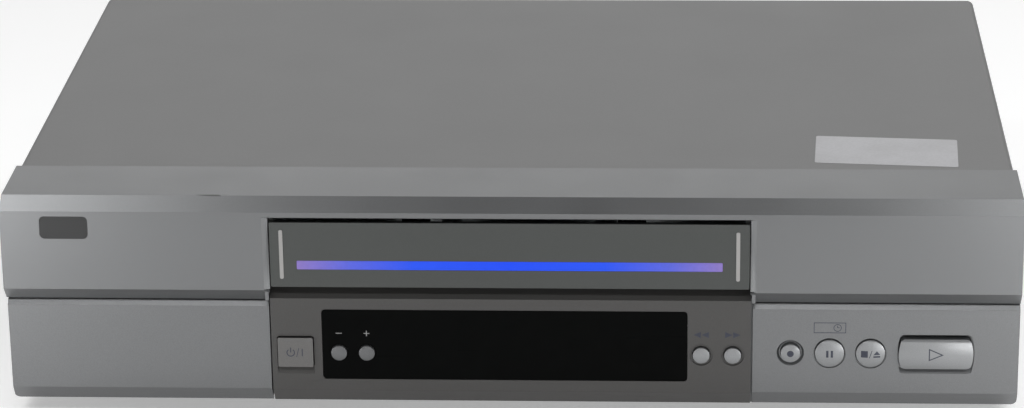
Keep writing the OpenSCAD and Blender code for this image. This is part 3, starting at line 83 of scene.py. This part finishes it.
class Finish:
    """A procedural material built step by step on one Principled shader."""

    MIX_INPUTS, MIX_OUTPUT = (0, 6, 7), 2   # factor, A, B and result of a colour Mix node

    def __init__(self, name, rough=0.5, metal=0.0, coat=0.0, coat_rough=0.1, specular=0.5):
        self.material = bpy.data.materials.new(name)
        self.material.use_nodes = True
        self.tree = self.material.node_tree
        self.shader = self.tree.nodes["Principled BSDF"]
        self.shader.inputs["Metallic"].default_value = metal
        self.shader.inputs["Roughness"].default_value = rough
        self.shader.inputs["Coat Weight"].default_value = coat
        self.shader.inputs["Coat Roughness"].default_value = coat_rough
        self.shader.inputs["Specular IOR Level"].default_value = specular
        self.at = self.tree.nodes.new("ShaderNodeTexCoord").outputs["Object"]
        self.bumps = None

    def node(self, kind, **values):
        made = self.tree.nodes.new(kind)
        for key, value in values.items():
            setattr(made, key, value)
        return made

    def link(self, source, target):
        self.tree.links.new(source, target)

    def feed(self, socket, value):
        """A number or colour goes on the socket itself, anything else is linked to it."""
        if isinstance(value, tuple):
            socket.default_value = (*value, 1)
        elif isinstance(value, (int, float)):
            socket.default_value = value
        else:
            self.link(value, socket)

    def scaled(self, stretch):
        """Object coordinates stretched along the axes, for grain that runs one way."""
        mapping = self.node("ShaderNodeMapping")
        mapping.inputs["Scale"].default_value = stretch
        self.link(self.at, mapping.inputs["Vector"])
        return mapping.outputs["Vector"]

    def noise(self, scale, detail=3.0, stretch=None):
        made = self.node("ShaderNodeTexNoise")
        made.inputs["Scale"].default_value = scale
        made.inputs["Detail"].default_value = detail
        self.link(self.scaled(stretch) if stretch else self.at, made.inputs["Vector"])
        return made.outputs["Fac"]

    def cells(self, scale):
        """Distance to the nearest point of a scattered pattern."""
        made = self.node("ShaderNodeTexVoronoi")
        made.inputs["Scale"].default_value = scale
        self.link(self.at, made.inputs["Vector"])
        return made.outputs["Distance"]

    def axis(self, name):
        """One object coordinate, in metres."""
        split = self.node("ShaderNodeSeparateXYZ")
        self.link(self.at, split.inputs[0])
        return split.outputs[name]

    def math(self, operation, first, second=0.0):
        made = self.node("ShaderNodeMath", operation=operation)
        self.feed(made.inputs[0], first)
        self.feed(made.inputs[1], second)
        return made.outputs[0]

    def ramp(self, value, stops):
        """Colours, or plain levels, along a value. A stop is (position, colour or level)."""
        made = self.node("ShaderNodeValToRGB")
        marks = made.color_ramp.elements
        while len(marks) < len(stops):
            marks.new(0.5)
        for mark, (position, shade) in zip(marks, stops):
            colour = shade if isinstance(shade, tuple) else (shade, shade, shade)
            mark.position, mark.color = position, (*colour, 1)
        self.link(value, made.inputs["Fac"])
        return made.outputs["Color"]

    def blend(self, share, first, second, mode="MIX"):
        """From the first colour to the second by a share, or their product in MULTIPLY."""
        made = self.node("ShaderNodeMix", data_type="RGBA", blend_type=mode)
        for index, value in zip(self.MIX_INPUTS, (share, first, second)):
            self.feed(made.inputs[index], value)
        return made.outputs[self.MIX_OUTPUT]

    def shades(self, value, colour, spread):
        """The colour, a little darker and lighter along a texture value."""
        dark = tuple(c * (1 - spread) for c in colour)
        light = tuple(min(1.0, c * (1 + spread)) for c in colour)
        return self.ramp(value, [(0.3, dark), (0.7, light)])

    def mottled(self, colour, share, fine, fine_spread, broad, broad_spread):
        """The colour varied by a fine texture and, by a share, by a broad one."""
        return self.blend(share, self.shades(fine, colour, fine_spread),
                          self.shades(broad, colour, broad_spread))

    def colour(self, value):
        self.link(value, self.shader.inputs["Base Color"])

    def roughness(self, value, low, high):
        """Roughness between two levels, led by a texture value."""
        made = self.node("ShaderNodeMapRange")
        made.inputs["To Min"].default_value = low
        made.inputs["To Max"].default_value = high
        self.link(value, made.inputs["Value"])
        self.link(made.outputs[0], self.shader.inputs["Roughness"])

    def bump(self, value, depth, strength=1.0):
        """Surface relief of a depth in metres. Further calls add to it."""
        made = self.node("ShaderNodeBump")
        made.inputs["Strength"].default_value = strength
        made.inputs["Distance"].default_value = depth
        self.link(value, made.inputs["Height"])
        if self.bumps:
            self.link(self.bumps, made.inputs["Normal"])
        self.bumps = made.outputs["Normal"]
        self.link(self.bumps, self.shader.inputs["Normal"])


def grey(level, warm=0.0):
    """A grey of a linear level, turned a little warm (+) or cool (-)."""
    return (level * (1 + warm), level, level * (1 - warm))


# Finishes, one function each

def silver_paint(name, level, warm=-0.02, rough=0.32, metal=0.8):
    """Satin silver paint on moulded plastic: fine flakes, slight orange peel, handling marks."""
    f = Finish(name, metal=metal, coat=0.12, coat_rough=0.3)
    flakes = f.noise(FLAKE_SCALE, detail=1)
    f.colour(f.mottled(grey(level, warm), share=0.12, fine=flakes, fine_spread=0.10,
                       broad=f.noise(9, detail=2), broad_spread=0.3))
    f.roughness(f.noise(38, detail=4), rough - 0.03, rough + 0.05)
    f.bump(flakes, 0.004 * MM)
    f.bump(f.noise(420, detail=1), 0.003 * MM)
    return f


def worn_silver(name, level):
    """The bezel's silver paint, with a long chip on its top front edge."""
    f = silver_paint(name, level)
    away_x = f.math("DIVIDE", f.math("SUBTRACT", f.axis("X"), CHIP_X), CHIP_HALF_X)
    away_y = f.math("DIVIDE", f.math("SUBTRACT", f.axis("Y"), CHIP_Y), CHIP_HALF_Y)
    near = f.math("ADD", f.math("POWER", away_x, 2.0), f.math("POWER", away_y, 2.0))
    flaked = f.math("GREATER_THAN", f.noise(430, detail=2, stretch=(0.3, 1, 1)), 0.5)
    worn = f.math("MULTIPLY", f.math("LESS_THAN", near, 1.0), flaked)
    paint = f.shader.inputs["Base Color"].links[0].from_socket
    f.colour(f.blend(worn, paint, grey(0.06)))
    return f


def cover_paint(name):
    """Grey baked paint on sheet steel: very fine texture and faint cloudiness."""
    f = Finish(name, metal=0.12, specular=0.35)
    grain = f.noise(2600, detail=2)
    f.colour(f.mottled(grey(COVER_LEVEL), share=0.25, fine=grain, fine_spread=0.05,
                       broad=f.noise(5, detail=3), broad_spread=0.10))
    f.roughness(f.noise(22, detail=3), 0.46, 0.56)
    f.bump(grain, 0.006 * MM)
    return f


def moulded(name, colour, rough):
    """Plain moulded plastic with a fine spark-eroded texture."""
    f = Finish(name)
    texture = f.noise(900, detail=3)
    f.colour(f.mottled(colour, share=0.3, fine=texture, fine_spread=0.10,
                       broad=f.noise(14), broad_spread=0.12))
    f.roughness(f.noise(60, detail=3), rough - 0.05, rough + 0.07)
    f.bump(texture, 0.012 * MM)
    return f


def door_plastic(name):
    """Dark grey satin metallic plastic of the cassette door, its ribs in bright silver."""
    f = Finish(name, metal=0.45, coat=0.1, coat_rough=0.3)
    flakes = f.noise(FLAKE_SCALE, detail=1)
    body = f.mottled(DOOR_GREY, share=0.15, fine=flakes, fine_spread=0.12,
                     broad=f.noise(11), broad_spread=0.2)
    across = f.math("ABSOLUTE", f.axis("X"))
    from_rib = f.math("ABSOLUTE", f.math("SUBTRACT", across, DOOR_RIB_X))
    on_rib = f.math("LESS_THAN", from_rib, DOOR_RIB_HALF)
    proud = f.math("LESS_THAN", f.axis("Y"), DOOR_FACE_Y - 0.02 * MM)
    f.colour(f.blend(f.math("MULTIPLY", on_rib, proud), body, grey(0.42, 0.02)))
    f.roughness(f.noise(45, detail=4), 0.36, 0.44)
    f.bump(flakes, 0.003 * MM)
    return f


def strip_blue(name):
    """Translucent strip, lavender at its ends and bright blue in the middle, with a painted glow:
    it gives off light though it is no lamp.
    """
    f = Finish(name, rough=0.3, specular=0.15)
    along = f.math("DIVIDE", f.math("ABSOLUTE", f.axis("X")), STRIP_HALF)
    tint = f.ramp(along, STRIP_TINTS)
    specks = f.ramp(f.noise(600, detail=2), [(0.3, 0.6), (0.7, 1.0)])
    f.colour(f.blend(0.2, tint, specks, "MULTIPLY"))
    # painted glow: the strip's tint is also given off as light
    f.link(tint, f.shader.inputs["Emission Color"])
    f.shader.inputs["Emission Strength"].default_value = STRIP_PAINTED_GLOW
    f.bump(f.cells(1400), 0.01 * MM, 0.5)
    return f


def smoked_window(name):
    """Near-black smoked plastic, satin, with hairline marks."""
    f = Finish(name, specular=0.04)
    smoke = f.noise(180, detail=5)
    f.colour(f.blend(smoke, (0.0012, 0.0014, 0.0013), (0.0030, 0.0034, 0.0032)))
    f.roughness(f.noise(70, detail=5, stretch=(0.2, 1, 3)), 0.24, 0.36)
    f.bump(f.noise(900, stretch=(0.1, 1, 2)), 0.0008 * MM)
    return f


def bright_metal(name, colour, rough, stretch=(1, 1, 12), grain=700):
    """Bare or plated metal with a drawn grain."""
    f = Finish(name, metal=1.0)
    texture = f.noise(grain, detail=4, stretch=stretch)
    f.colour(f.mottled(colour, share=0.4, fine=texture, fine_spread=0.12,
                       broad=f.noise(25), broad_spread=0.16))
    f.roughness(texture, rough - 0.06, rough + 0.10)
    f.bump(texture, 0.006 * MM)
    return f


def turned_metal(name, colour, rough=0.22):
    """Metal with the fine rings that a lathe leaves."""
    return bright_metal(name, colour, rough, stretch=(1, 1, 40), grain=260)


def zinc_sheet(name):
    """Galvanised sheet steel with its faint spangle."""
    f = Finish(name, metal=0.85)
    spangle = f.cells(190)
    f.colour(f.mottled(ZINC, share=0.5, fine=spangle, fine_spread=0.14,
                       broad=f.noise(12), broad_spread=0.12))
    f.roughness(spangle, 0.32, 0.5)
    f.bump(f.noise(700), 0.004 * MM)
    return f


def board(name, colour):
    """Circuit board with a coloured resist, faint tracks and pads."""
    f = Finish(name, rough=0.35, coat=0.5, coat_rough=0.2)
    bricks = f.node("ShaderNodeTexBrick")
    bricks.inputs["Scale"].default_value = 70
    bricks.inputs["Mortar Size"].default_value = 0.035
    f.link(f.at, bricks.inputs["Vector"])
    tracks = bricks.outputs["Fac"]
    pads = f.math("LESS_THAN", f.cells(320), 0.16)
    resist = f.blend(tracks, f.shades(f.noise(50), colour, 0.2), tuple(1.7 * c for c in colour))
    f.colour(f.blend(pads, resist, (0.55, 0.54, 0.50)))
    f.bump(tracks, 0.02 * MM)
    return f


def rubber(name):
    """Black rubber, matt, with a light bloom of dust."""
    f = Finish(name, specular=0.3)
    dust = f.noise(120, detail=5)
    f.colour(f.ramp(dust, [(0.35, 0.012), (0.75, 0.035)]))
    f.roughness(dust, 0.68, 0.88)
    f.bump(f.noise(1500, detail=3), 0.015 * MM)
    return f


def waves(f, scale, vector, dark, light, depth):
    """Colour and relief in regular bands."""
    wave = f.node("ShaderNodeTexWave")
    wave.inputs["Scale"].default_value = scale
    f.link(vector, wave.inputs["Vector"])
    f.colour(f.blend(wave.outputs["Fac"], dark, light))
    f.bump(wave.outputs["Fac"], depth)


def display_glass(name):
    """Dark glass of the fluorescent display, its grid just showing."""
    f = Finish(name, rough=0.08, coat=1.0, coat_rough=0.03)
    waves(f, 160, f.at, (0.006, 0.012, 0.012), (0.018, 0.036, 0.034), 0.002 * MM)
    return f


def copper_winding(name):
    """Varnished copper wire wound in layers round a laminated core."""
    f = Finish(name, rough=0.35, metal=0.6)
    waves(f, 420, f.scaled((0, 0, 1)), (0.16, 0.06, 0.02), (0.42, 0.19, 0.07), 0.1 * MM)
    return f


def printed_ink(name, colour):
    """Screen-printed ink with slightly uneven cover."""
    f = Finish(name, rough=0.55)
    cover = f.noise(1700, detail=3)
    f.colour(f.shades(cover, colour, 0.18))
    f.bump(cover, 0.004 * MM)
    return f


def label_paper(name):
    """Matt white sticker, a little grey with handling."""
    f = Finish(name, rough=0.62, specular=0.3)
    fibre = f.noise(900, detail=5)
    smudge = f.ramp(f.noise(60, detail=4), [(0.45, 0.0), (0.8, 0.35)])
    f.colour(f.blend(smudge, f.shades(fibre, (0.50, 0.50, 0.515), 0.04), grey(0.36)))
    f.bump(fibre, 0.01 * MM)
    return f


def dress_nodes():
    """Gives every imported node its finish. Nodes in one row share a material."""
    rows = [
        (cover_paint("cover_paint"), ["top_cover"]),
        (worn_silver("bezel_silver", SILVER_LEVEL), ["front_bezel"]),
        (silver_paint("panel_silver", SILVER_LEVEL), ["control_panel", "connector_cover"]),
        (silver_paint("fascia_silver", 0.08, warm=0.03, rough=0.42, metal=0.3),
         ["centre_fascia"]),
        (smoked_window("window_smoke"), ["display_window"]),
        (silver_paint("badge_metal", 0.03, rough=0.4, metal=0.3), ["badge_plate"]),
        (door_plastic("door_grey"), ["cassette_door"]),
        (strip_blue("strip_blue"), ["door_strip"]),
        (silver_paint("button_silver", 0.31, rough=0.33),
         ["rewind_button", "fast_forward_button", "record_button", "pause_button",
          "stop_eject_button", "play_button"]),
        (silver_paint("power_silver", 0.16, warm=0.02, rough=0.36), ["power_button"]),
        (silver_paint("window_button_grey", 0.17, rough=0.4, metal=0.6),
         ["channel_down_button", "channel_up_button"]),
        (zinc_sheet("zinc_steel"),
         ["bottom_chassis", "rear_panel", "housing_brackets", "tuner_module"]),
        (zinc_sheet("deck_steel"),
         ["deck_chassis", "lift_carriage", "cassette_holder", "pinch_roller_arm", "tension_arm"]),
        (rubber("rubber_black"), ["feet", "pinch_roller", "idler_wheel"]),
        (moulded("black_plastic", (0.010, 0.010, 0.011), 0.45),
         ["scart_sockets", "mains_inlet", "tact_switches"]),
        (moulded("dark_plastic", (0.022, 0.023, 0.026), 0.4),
         ["supply_reel_table", "takeup_reel_table"]),
        (moulded("mechanism_plastic", (0.62, 0.61, 0.56), 0.42),
         ["idler_arm", "supply_loading_arm", "takeup_loading_arm", "cam_gear"]),
        (bright_metal("plated_brass", (0.72, 0.50, 0.16), 0.28), ["front_jacks", "rear_jacks"]),
        (bright_metal("spring_steel", (0.55, 0.56, 0.58), 0.25), ["door_spring"]),
        (bright_metal("screw_steel", (0.42, 0.43, 0.45), 0.3), ["casing_screws"]),
        (bright_metal("screw_brass", (0.60, 0.46, 0.20), 0.3), ["deck_screws"]),
        (turned_metal("drum_aluminium", (0.62, 0.64, 0.66)), ["lower_drum", "upper_drum"]),
        (bright_metal("cast_aluminium", (0.42, 0.43, 0.44), 0.42), ["drum_base", "heat_sink"]),
        (turned_metal("brass_flywheel", (0.58, 0.50, 0.30), 0.3), ["capstan_flywheel"]),
        (bright_metal("polished_steel", (0.60, 0.61, 0.63), 0.18),
         ["supply_guide", "takeup_guide", "tape_heads"]),
        (bright_metal("motor_steel", (0.50, 0.51, 0.53), 0.36), ["loading_motor"]),
        (board("circuit_board", BOARD_GREEN),
         ["front_circuit_board", "main_circuit_board", "capstan_motor"]),
        (board("paper_board", BOARD_TAN), ["power_supply_board"]),
        (display_glass("display_glass"), ["fluorescent_display"]),
        (copper_winding("copper_winding"), ["transformer"]),
        (moulded("capacitor_sleeve", (0.020, 0.030, 0.055), 0.35), ["power_capacitors"]),
    ]
    for finish, names in rows:
        for name in names:
            slots = NODES[name].data.materials
            slots.clear()
            slots.append(finish.material)


def soften_edges():
    """Small rounded edges on the mouldings that show, by width in millimetres."""
    rows = [
        (0.45, ["front_bezel"]),
        (0.6, ["control_panel", "connector_cover"]),
        (0.4, ["centre_fascia"]),
        (0.25, ["cassette_door", "power_button", "play_button", "pause_button",
                "stop_eject_button", "record_button", "rewind_button", "fast_forward_button",
                "channel_down_button", "channel_up_button", "badge_plate"]),
    ]
    for width, names in rows:
        for name in names:
            weld = NODES[name].modifiers.new("weld", "WELD")
            weld.merge_threshold = 0.002 * MM
            bevel = NODES[name].modifiers.new("edge", "BEVEL")
            bevel.width = width * MM
            bevel.segments = 2
            bevel.limit_method = "ANGLE"
            bevel.angle_limit = math.radians(25)


# Printed signs: thin solids of ink, drawn in millimetres about their own middle

CURVE_STEPS = 24                              # straight pieces of an arc or a circle
OUTLINE = 0.42                                # width of the lines of the larger signs
INK_THICK, INK_SUNK, LONGEST_EDGE = 0.05, 0.02, 0.6
WIND_SIGN_UP, CHANNEL_SIGN_UP, TIMER_SIGN_UP = 8.6 * MM, 8.2 * MM, 10.75 * MM


def polygon_ring(points, width):
    """Outer and inner outlines of a closed line of a width."""
    count = len(points)
    outer, inner = [], []
    for i in range(count):
        before, here, after = (Vector(points[(i + k) % count]) for k in (-1, 0, 1))
        side_a = (here - before).normalized().orthogonal()
        side_b = (after - here).normalized().orthogonal()
        mitre = (side_a + side_b).normalized()
        reach = width / 2 / max(0.3, mitre.dot(side_a))
        outer.append(tuple(here + mitre * reach))
        inner.append(tuple(here - mitre * reach))
    return outer, inner


def arc(radius, start, end, steps, centre):
    turns = [math.radians(start + (end - start) * i / steps) for i in range(steps + 1)]
    return [(centre[0] + radius * math.cos(turn), centre[1] + radius * math.sin(turn))
            for turn in turns]


def circle(radius, centre=(0, 0)):
    return arc(radius, 0, 360 - 360 / CURVE_STEPS, CURVE_STEPS - 1, centre)


def arc_band(radius, width, start, end, centre):
    """Outer and inner line of a band that stays open between its ends."""
    outer, inner = (arc(radius + side * width / 2, start, end, CURVE_STEPS, centre)
                    for side in (1, -1))
    return outer, inner, "open"


def bar(x0, x1, z0, z1):
    return [(x0, z0), (x1, z0), (x1, z1), (x0, z1)]


def slash(x, half):
    """A leaning stroke of a half height."""
    lean, thick = 0.5, 0.14
    return [(x - lean - thick, -half), (x - lean + thick, -half),
            (x + lean + thick, half), (x + lean - thick, half)]


def triangle(x, width, half):
    """A triangle that points right, or left where the width is negative."""
    return [(x - width / 2, -half), (x + width / 2, 0), (x - width / 2, half)]


def bowed(radius):
    """How far a face curved up and down falls back at a point, all in millimetres."""
    return lambda u, v: radius - math.sqrt(radius * radius - v * v)


def domed(radius):
    """The same for a face that is part of a ball."""
    return lambda u, v: radius - math.sqrt(radius * radius - u * u - v * v)


def add_piece(name, mesh, finish, body):
    """Puts a mesh in the scene as a visible piece that rides on a body."""
    made = bpy.data.objects.new(name, mesh)
    SCENE.collection.objects.link(made)
    made.data.materials.append(finish.material)
    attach(made, body)


def sign(name, shapes, at, face_y, finish, body, fall=None):
    """Prints filled shapes, (outer, inner) rings or open bands on a face that looks to -Y."""
    work = bmesh.new()
    for shape in shapes:
        outer, inner, *gap = shape if isinstance(shape, tuple) else (shape, None)
        rim = [work.verts.new((u, 0, v)) for u, v in outer]
        if inner is None:
            work.faces.new(rim)
            continue
        hole = [work.verts.new((u, 0, v)) for u, v in inner]
        for k in range(len(rim) - len(gap)):
            n = (k + 1) % len(rim)
            work.faces.new((rim[k], rim[n], hole[n], hole[k]))
    bmesh.ops.triangulate(work, faces=work.faces)
    while fall:
        long_edges = [edge for edge in work.edges if edge.calc_length() > LONGEST_EDGE]
        if not long_edges:
            break
        bmesh.ops.subdivide_edges(work, edges=long_edges, cuts=1)
        bmesh.ops.triangulate(work, faces=work.faces)
    grown = bmesh.ops.extrude_face_region(work, geom=work.faces[:])
    back = {part for part in grown["geom"] if isinstance(part, bmesh.types.BMVert)}
    for vert in work.verts:
        u, v = vert.co.x, vert.co.z
        depth = (INK_SUNK if vert in back else INK_SUNK - INK_THICK) + (fall(u, v) if fall else 0)
        vert.co = (at[0] + u * MM, face_y + depth * MM, at[1] + v * MM)
    bmesh.ops.recalc_face_normals(work, faces=work.faces)
    mesh = bpy.data.meshes.new(name)
    work.to_mesh(mesh)
    work.free()
    add_piece(name, mesh, finish, body)


def middle(node):
    """Middle of a node across the front, in X and Z, and the Y of its foremost face."""
    low, _, centre = place_of(node)
    return (centre.x, centre.z), low.y


def print_signs():
    """The function signs of the buttons, and the timer's box with its clock."""
    ink = printed_ink("dark_ink", INK)
    light_ink = printed_ink("light_ink", LIGHT_INK)
    on_buttons = [
        ("power_button", None, [
            arc_band(1.5, OUTLINE, 125, 415, (-1.9, -0.1)), bar(-2.1, -1.7, 0, 2.1),
            slash(0.9, 1.9), bar(2.5, 2.9, -1.6, 1.6)]),
        ("record_button", domed(SMALL_DOME), [circle(1.35)]),
        ("pause_button", domed(LARGE_DOME), [
            bar(-1.35, -0.45, -1.45, 1.45), bar(0.45, 1.35, -1.45, 1.45)]),
        ("stop_eject_button", domed(LARGE_DOME), [
            bar(-3.75, -1.1, -1.4, 1.4), slash(0.05, 1.6), bar(1.1, 3.8, -1.4, -0.75),
            [(1.1, -0.25), (3.8, -0.25), (2.45, 1.35)]]),
        ("play_button", bowed(PLAY_BOW), [polygon_ring(triangle(0, 5.2, 2.3), OUTLINE)]),
    ]
    for node, fall, shapes in on_buttons:
        at, face_y = middle(node)
        sign(node + "_sign", shapes, at, face_y, ink, node, fall)

    fascia_y = middle("centre_fascia")[1]
    for node, turn in (("rewind_button", -1), ("fast_forward_button", 1)):
        (x, z), _ = middle(node)
        shapes = [triangle(side * 1.58, turn * 2.85, 1.3) for side in (-1, 1)]
        sign(node + "_sign", shapes, (x, z + WIND_SIGN_UP), fascia_y, ink, "casing")

    window_y = middle("display_window")[1]
    plus = [bar(-1.2, 1.2, -0.17, 0.17), bar(-0.17, 0.17, 0.17, 1.2),
            bar(-0.17, 0.17, -1.2, -0.17)]
    for node, shapes in (("channel_down_button", plus[:1]), ("channel_up_button", plus)):
        (x, z), _ = middle(node)
        sign(node + "_sign", shapes, (x, z + CHANNEL_SIGN_UP), window_y, light_ink, "casing")

    (x, z), _ = middle("pause_button")
    clock_x = 3.0
    timer = [polygon_ring(bar(-6.2, 6.2, -2.1, 2.1), 0.28),
             (circle(1.6, (clock_x, 0)), circle(1.32, (clock_x, 0))),
             bar(clock_x - 0.14, clock_x + 0.14, 0, 0.95),
             bar(clock_x + 0.14, clock_x + 0.8, -0.05, 0.2)]
    sign("timer_sign", timer, (x, z + TIMER_SIGN_UP), middle("control_panel")[1], ink, "casing")


STICKER_CORNERS = ((121.9, -58.2), (178.8, -62.6), (177.2, -95.3), (120.3, -90.5))   # mm
STICKER_ROUND, STICKER_THICK, CORNER_STEPS = 1.2 * MM, 0.12 * MM, 5


def stick_label():
    """The blank sticker on the cover, a little askew, as a thin sheet with rounded corners."""
    corners = [Vector((x * MM, y * MM)) for x, y in STICKER_CORNERS]
    outline = []
    for i in range(len(corners)):
        before, here, after = (corners[(i + k) % len(corners)] for k in (-1, 0, 1))
        start = here + (before - here).normalized() * STICKER_ROUND
        end = here + (after - here).normalized() * STICKER_ROUND
        for step in range(CORNER_STEPS + 1):
            t = step / CORNER_STEPS
            outline.append(start * (1 - t) ** 2 + here * 2 * t * (1 - t) + end * t ** 2)
    rings = [(0, 1.0), (STICKER_THICK * 0.7, 1.0), (STICKER_THICK, 0.997)]   # rise, size
    centre = sum(corners, Vector((0, 0))) / len(corners)
    work = bmesh.new()
    levels = [[work.verts.new((*(centre + (p - centre) * share), COVER_TOP + rise))
               for p in outline] for rise, share in rings]
    for lower, upper in zip(levels, levels[1:]):
        for k in range(len(outline)):
            n = (k + 1) % len(outline)
            work.faces.new((lower[k], lower[n], upper[n], upper[k]))
    work.faces.new(levels[-1])
    work.faces.new(levels[0])
    bmesh.ops.recalc_face_normals(work, faces=work.faces)
    mesh = bpy.data.meshes.new("blank_sticker")
    work.to_mesh(mesh)
    work.free()
    add_piece("blank_sticker", mesh, label_paper("label_paper"), "casing")


# Stage, lights and camera

FLOOR_HALF = 6.0
WORLD_STRENGTH = 0.08
CAMERA_AT = (0.0720, -1.4320, 0.5732)
CAMERA_TURN = (3.12, 20.33, -0.80)            # yaw, pitch and roll in degrees
FOCAL_PIXELS, PHOTO_WIDTH, SENSOR_MM = 3552, 1024, 36


def set_stage():
    """A plain pale floor that the recorder stands on."""
    half = FLOOR_HALF
    mesh = bpy.data.meshes.new("floor")
    mesh.from_pydata([(-half, -half, 0), (half, -half, 0), (half, half, 0), (-half, half, 0)],
                     [], [(0, 1, 2, 3)])
    floor = bpy.data.objects.new("floor", mesh)
    SCENE.collection.objects.link(floor)
    f = Finish("floor_paper", rough=0.9, specular=0.1)
    f.colour(f.blend(f.noise(3, detail=2), grey(0.86), grey(0.89)))
    rays = f.node("ShaderNodeLightPath").outputs
    seen = f.math("MAXIMUM", rays["Is Camera Ray"], rays["Is Glossy Ray"])
    seen = f.math("MAXIMUM", seen, rays["Is Transmission Ray"])
    f.shader.inputs["Emission Color"].default_value = (1, 1, 1, 1)
    f.link(f.math("MULTIPLY", seen, FLOOR_GLOW), f.shader.inputs["Emission Strength"])
    mesh.materials.append(f.material)


def add_area(name, at, target, size, watts):
    lamp = bpy.data.lights.new(name, "AREA")
    lamp.shape = "RECTANGLE"
    lamp.size, lamp.size_y = size
    lamp.energy = watts
    made = bpy.data.objects.new(name, lamp)
    made.location = at
    made.rotation_euler = (Vector(target) - Vector(at)).to_track_quat("-Z", "Y").to_euler()
    made.visible_camera = False
    SCENE.collection.objects.link(made)


def light():
    """Soft boxes overhead, behind and in front, and small ones that shade the front's ends."""
    world = bpy.data.worlds.new("studio")
    SCENE.world = world
    world.use_nodes = True
    world.node_tree.nodes["Background"].inputs["Color"].default_value = (1, 1, 1, 1)
    world.node_tree.nodes["Background"].inputs["Strength"].default_value = WORLD_STRENGTH
    rows = [   # name, place, target, width and height, watts
        ("overhead_left", (-0.8, 0.25, 1.3), (-0.1, 0, 0.05), (0.5, 1.0), 5.0),
        ("overhead_right", (0.8, 0.25, 1.3), (0.1, 0, 0.05), (0.5, 1.0), 8.2),
        ("bevel_left", (-0.42, -0.02, 0.62), (-0.2, -0.13, 0.09), (0.25, 0.25), 0.50),
        ("bevel_right", (0.42, -0.02, 0.62), (0.2, -0.13, 0.09), (0.25, 0.25), 0.35),
        ("behind", (0, 1.7, 0.6), (0, 0, 0.09), (2.0, 0.5), 4.4),
        ("high_front", (0, -1.2, 1.3), (0, -0.1, 0.05), (1.7, 0.14), 6.0),
        ("low_front", (0, -1.9, 0.30), (0, -0.1, 0.05), (1.8, 0.25), 3.5),
        ("floor_left", (-0.34, -0.21, 0.03), (-0.20, -0.14, 0.03), (0.24, 0.05), 0.14),
        ("floor_right", (0.34, -0.21, 0.03), (0.20, -0.14, 0.03), (0.24, 0.05), 0.12),
        ("corner_left", (-0.32, -0.36, 0.03), (-0.2, -0.14, 0.04), (0.20, 0.05), 0.10),
        ("corner_right", (0.32, -0.36, 0.03), (0.2, -0.14, 0.04), (0.20, 0.05), 0.12),
    ]
    for row in rows:
        add_area(*row)


def aim_camera():
    """The photograph's camera: 1.55 m away, to the right of the middle, looking down."""
    yaw, pitch, roll = (math.radians(a) for a in CAMERA_TURN)
    base = Matrix(((1, 0, 0), (0, 0, -1), (0, 1, 0)))
    lean = Matrix(((1, 0, 0),
                   (0, math.cos(pitch), -math.sin(pitch)),
                   (0, math.sin(pitch), math.cos(pitch))))
    tilt = Matrix(((math.cos(roll), -math.sin(roll), 0),
                   (math.sin(roll), math.cos(roll), 0),
                   (0, 0, 1)))
    view = tilt @ lean @ base @ Matrix.Rotation(yaw, 3, "Z").transposed()
    lens = bpy.data.cameras.new("photo_camera")
    lens.sensor_width = SENSOR_MM
    lens.lens = FOCAL_PIXELS / PHOTO_WIDTH * SENSOR_MM
    lens.clip_start = 0.05
    camera = bpy.data.objects.new("photo_camera", lens)
    axes = Matrix((view[0], -view[1], -view[2])).transposed()
    camera.matrix_world = Matrix.Translation(CAMERA_AT) @ axes.to_4x4()
    SCENE.collection.objects.link(camera)
    SCENE.camera = camera


aim_camera()
dress_nodes()
soften_edges()
print_signs()
stick_label()
set_stage()
light()

bpy.context.view_layer.update()
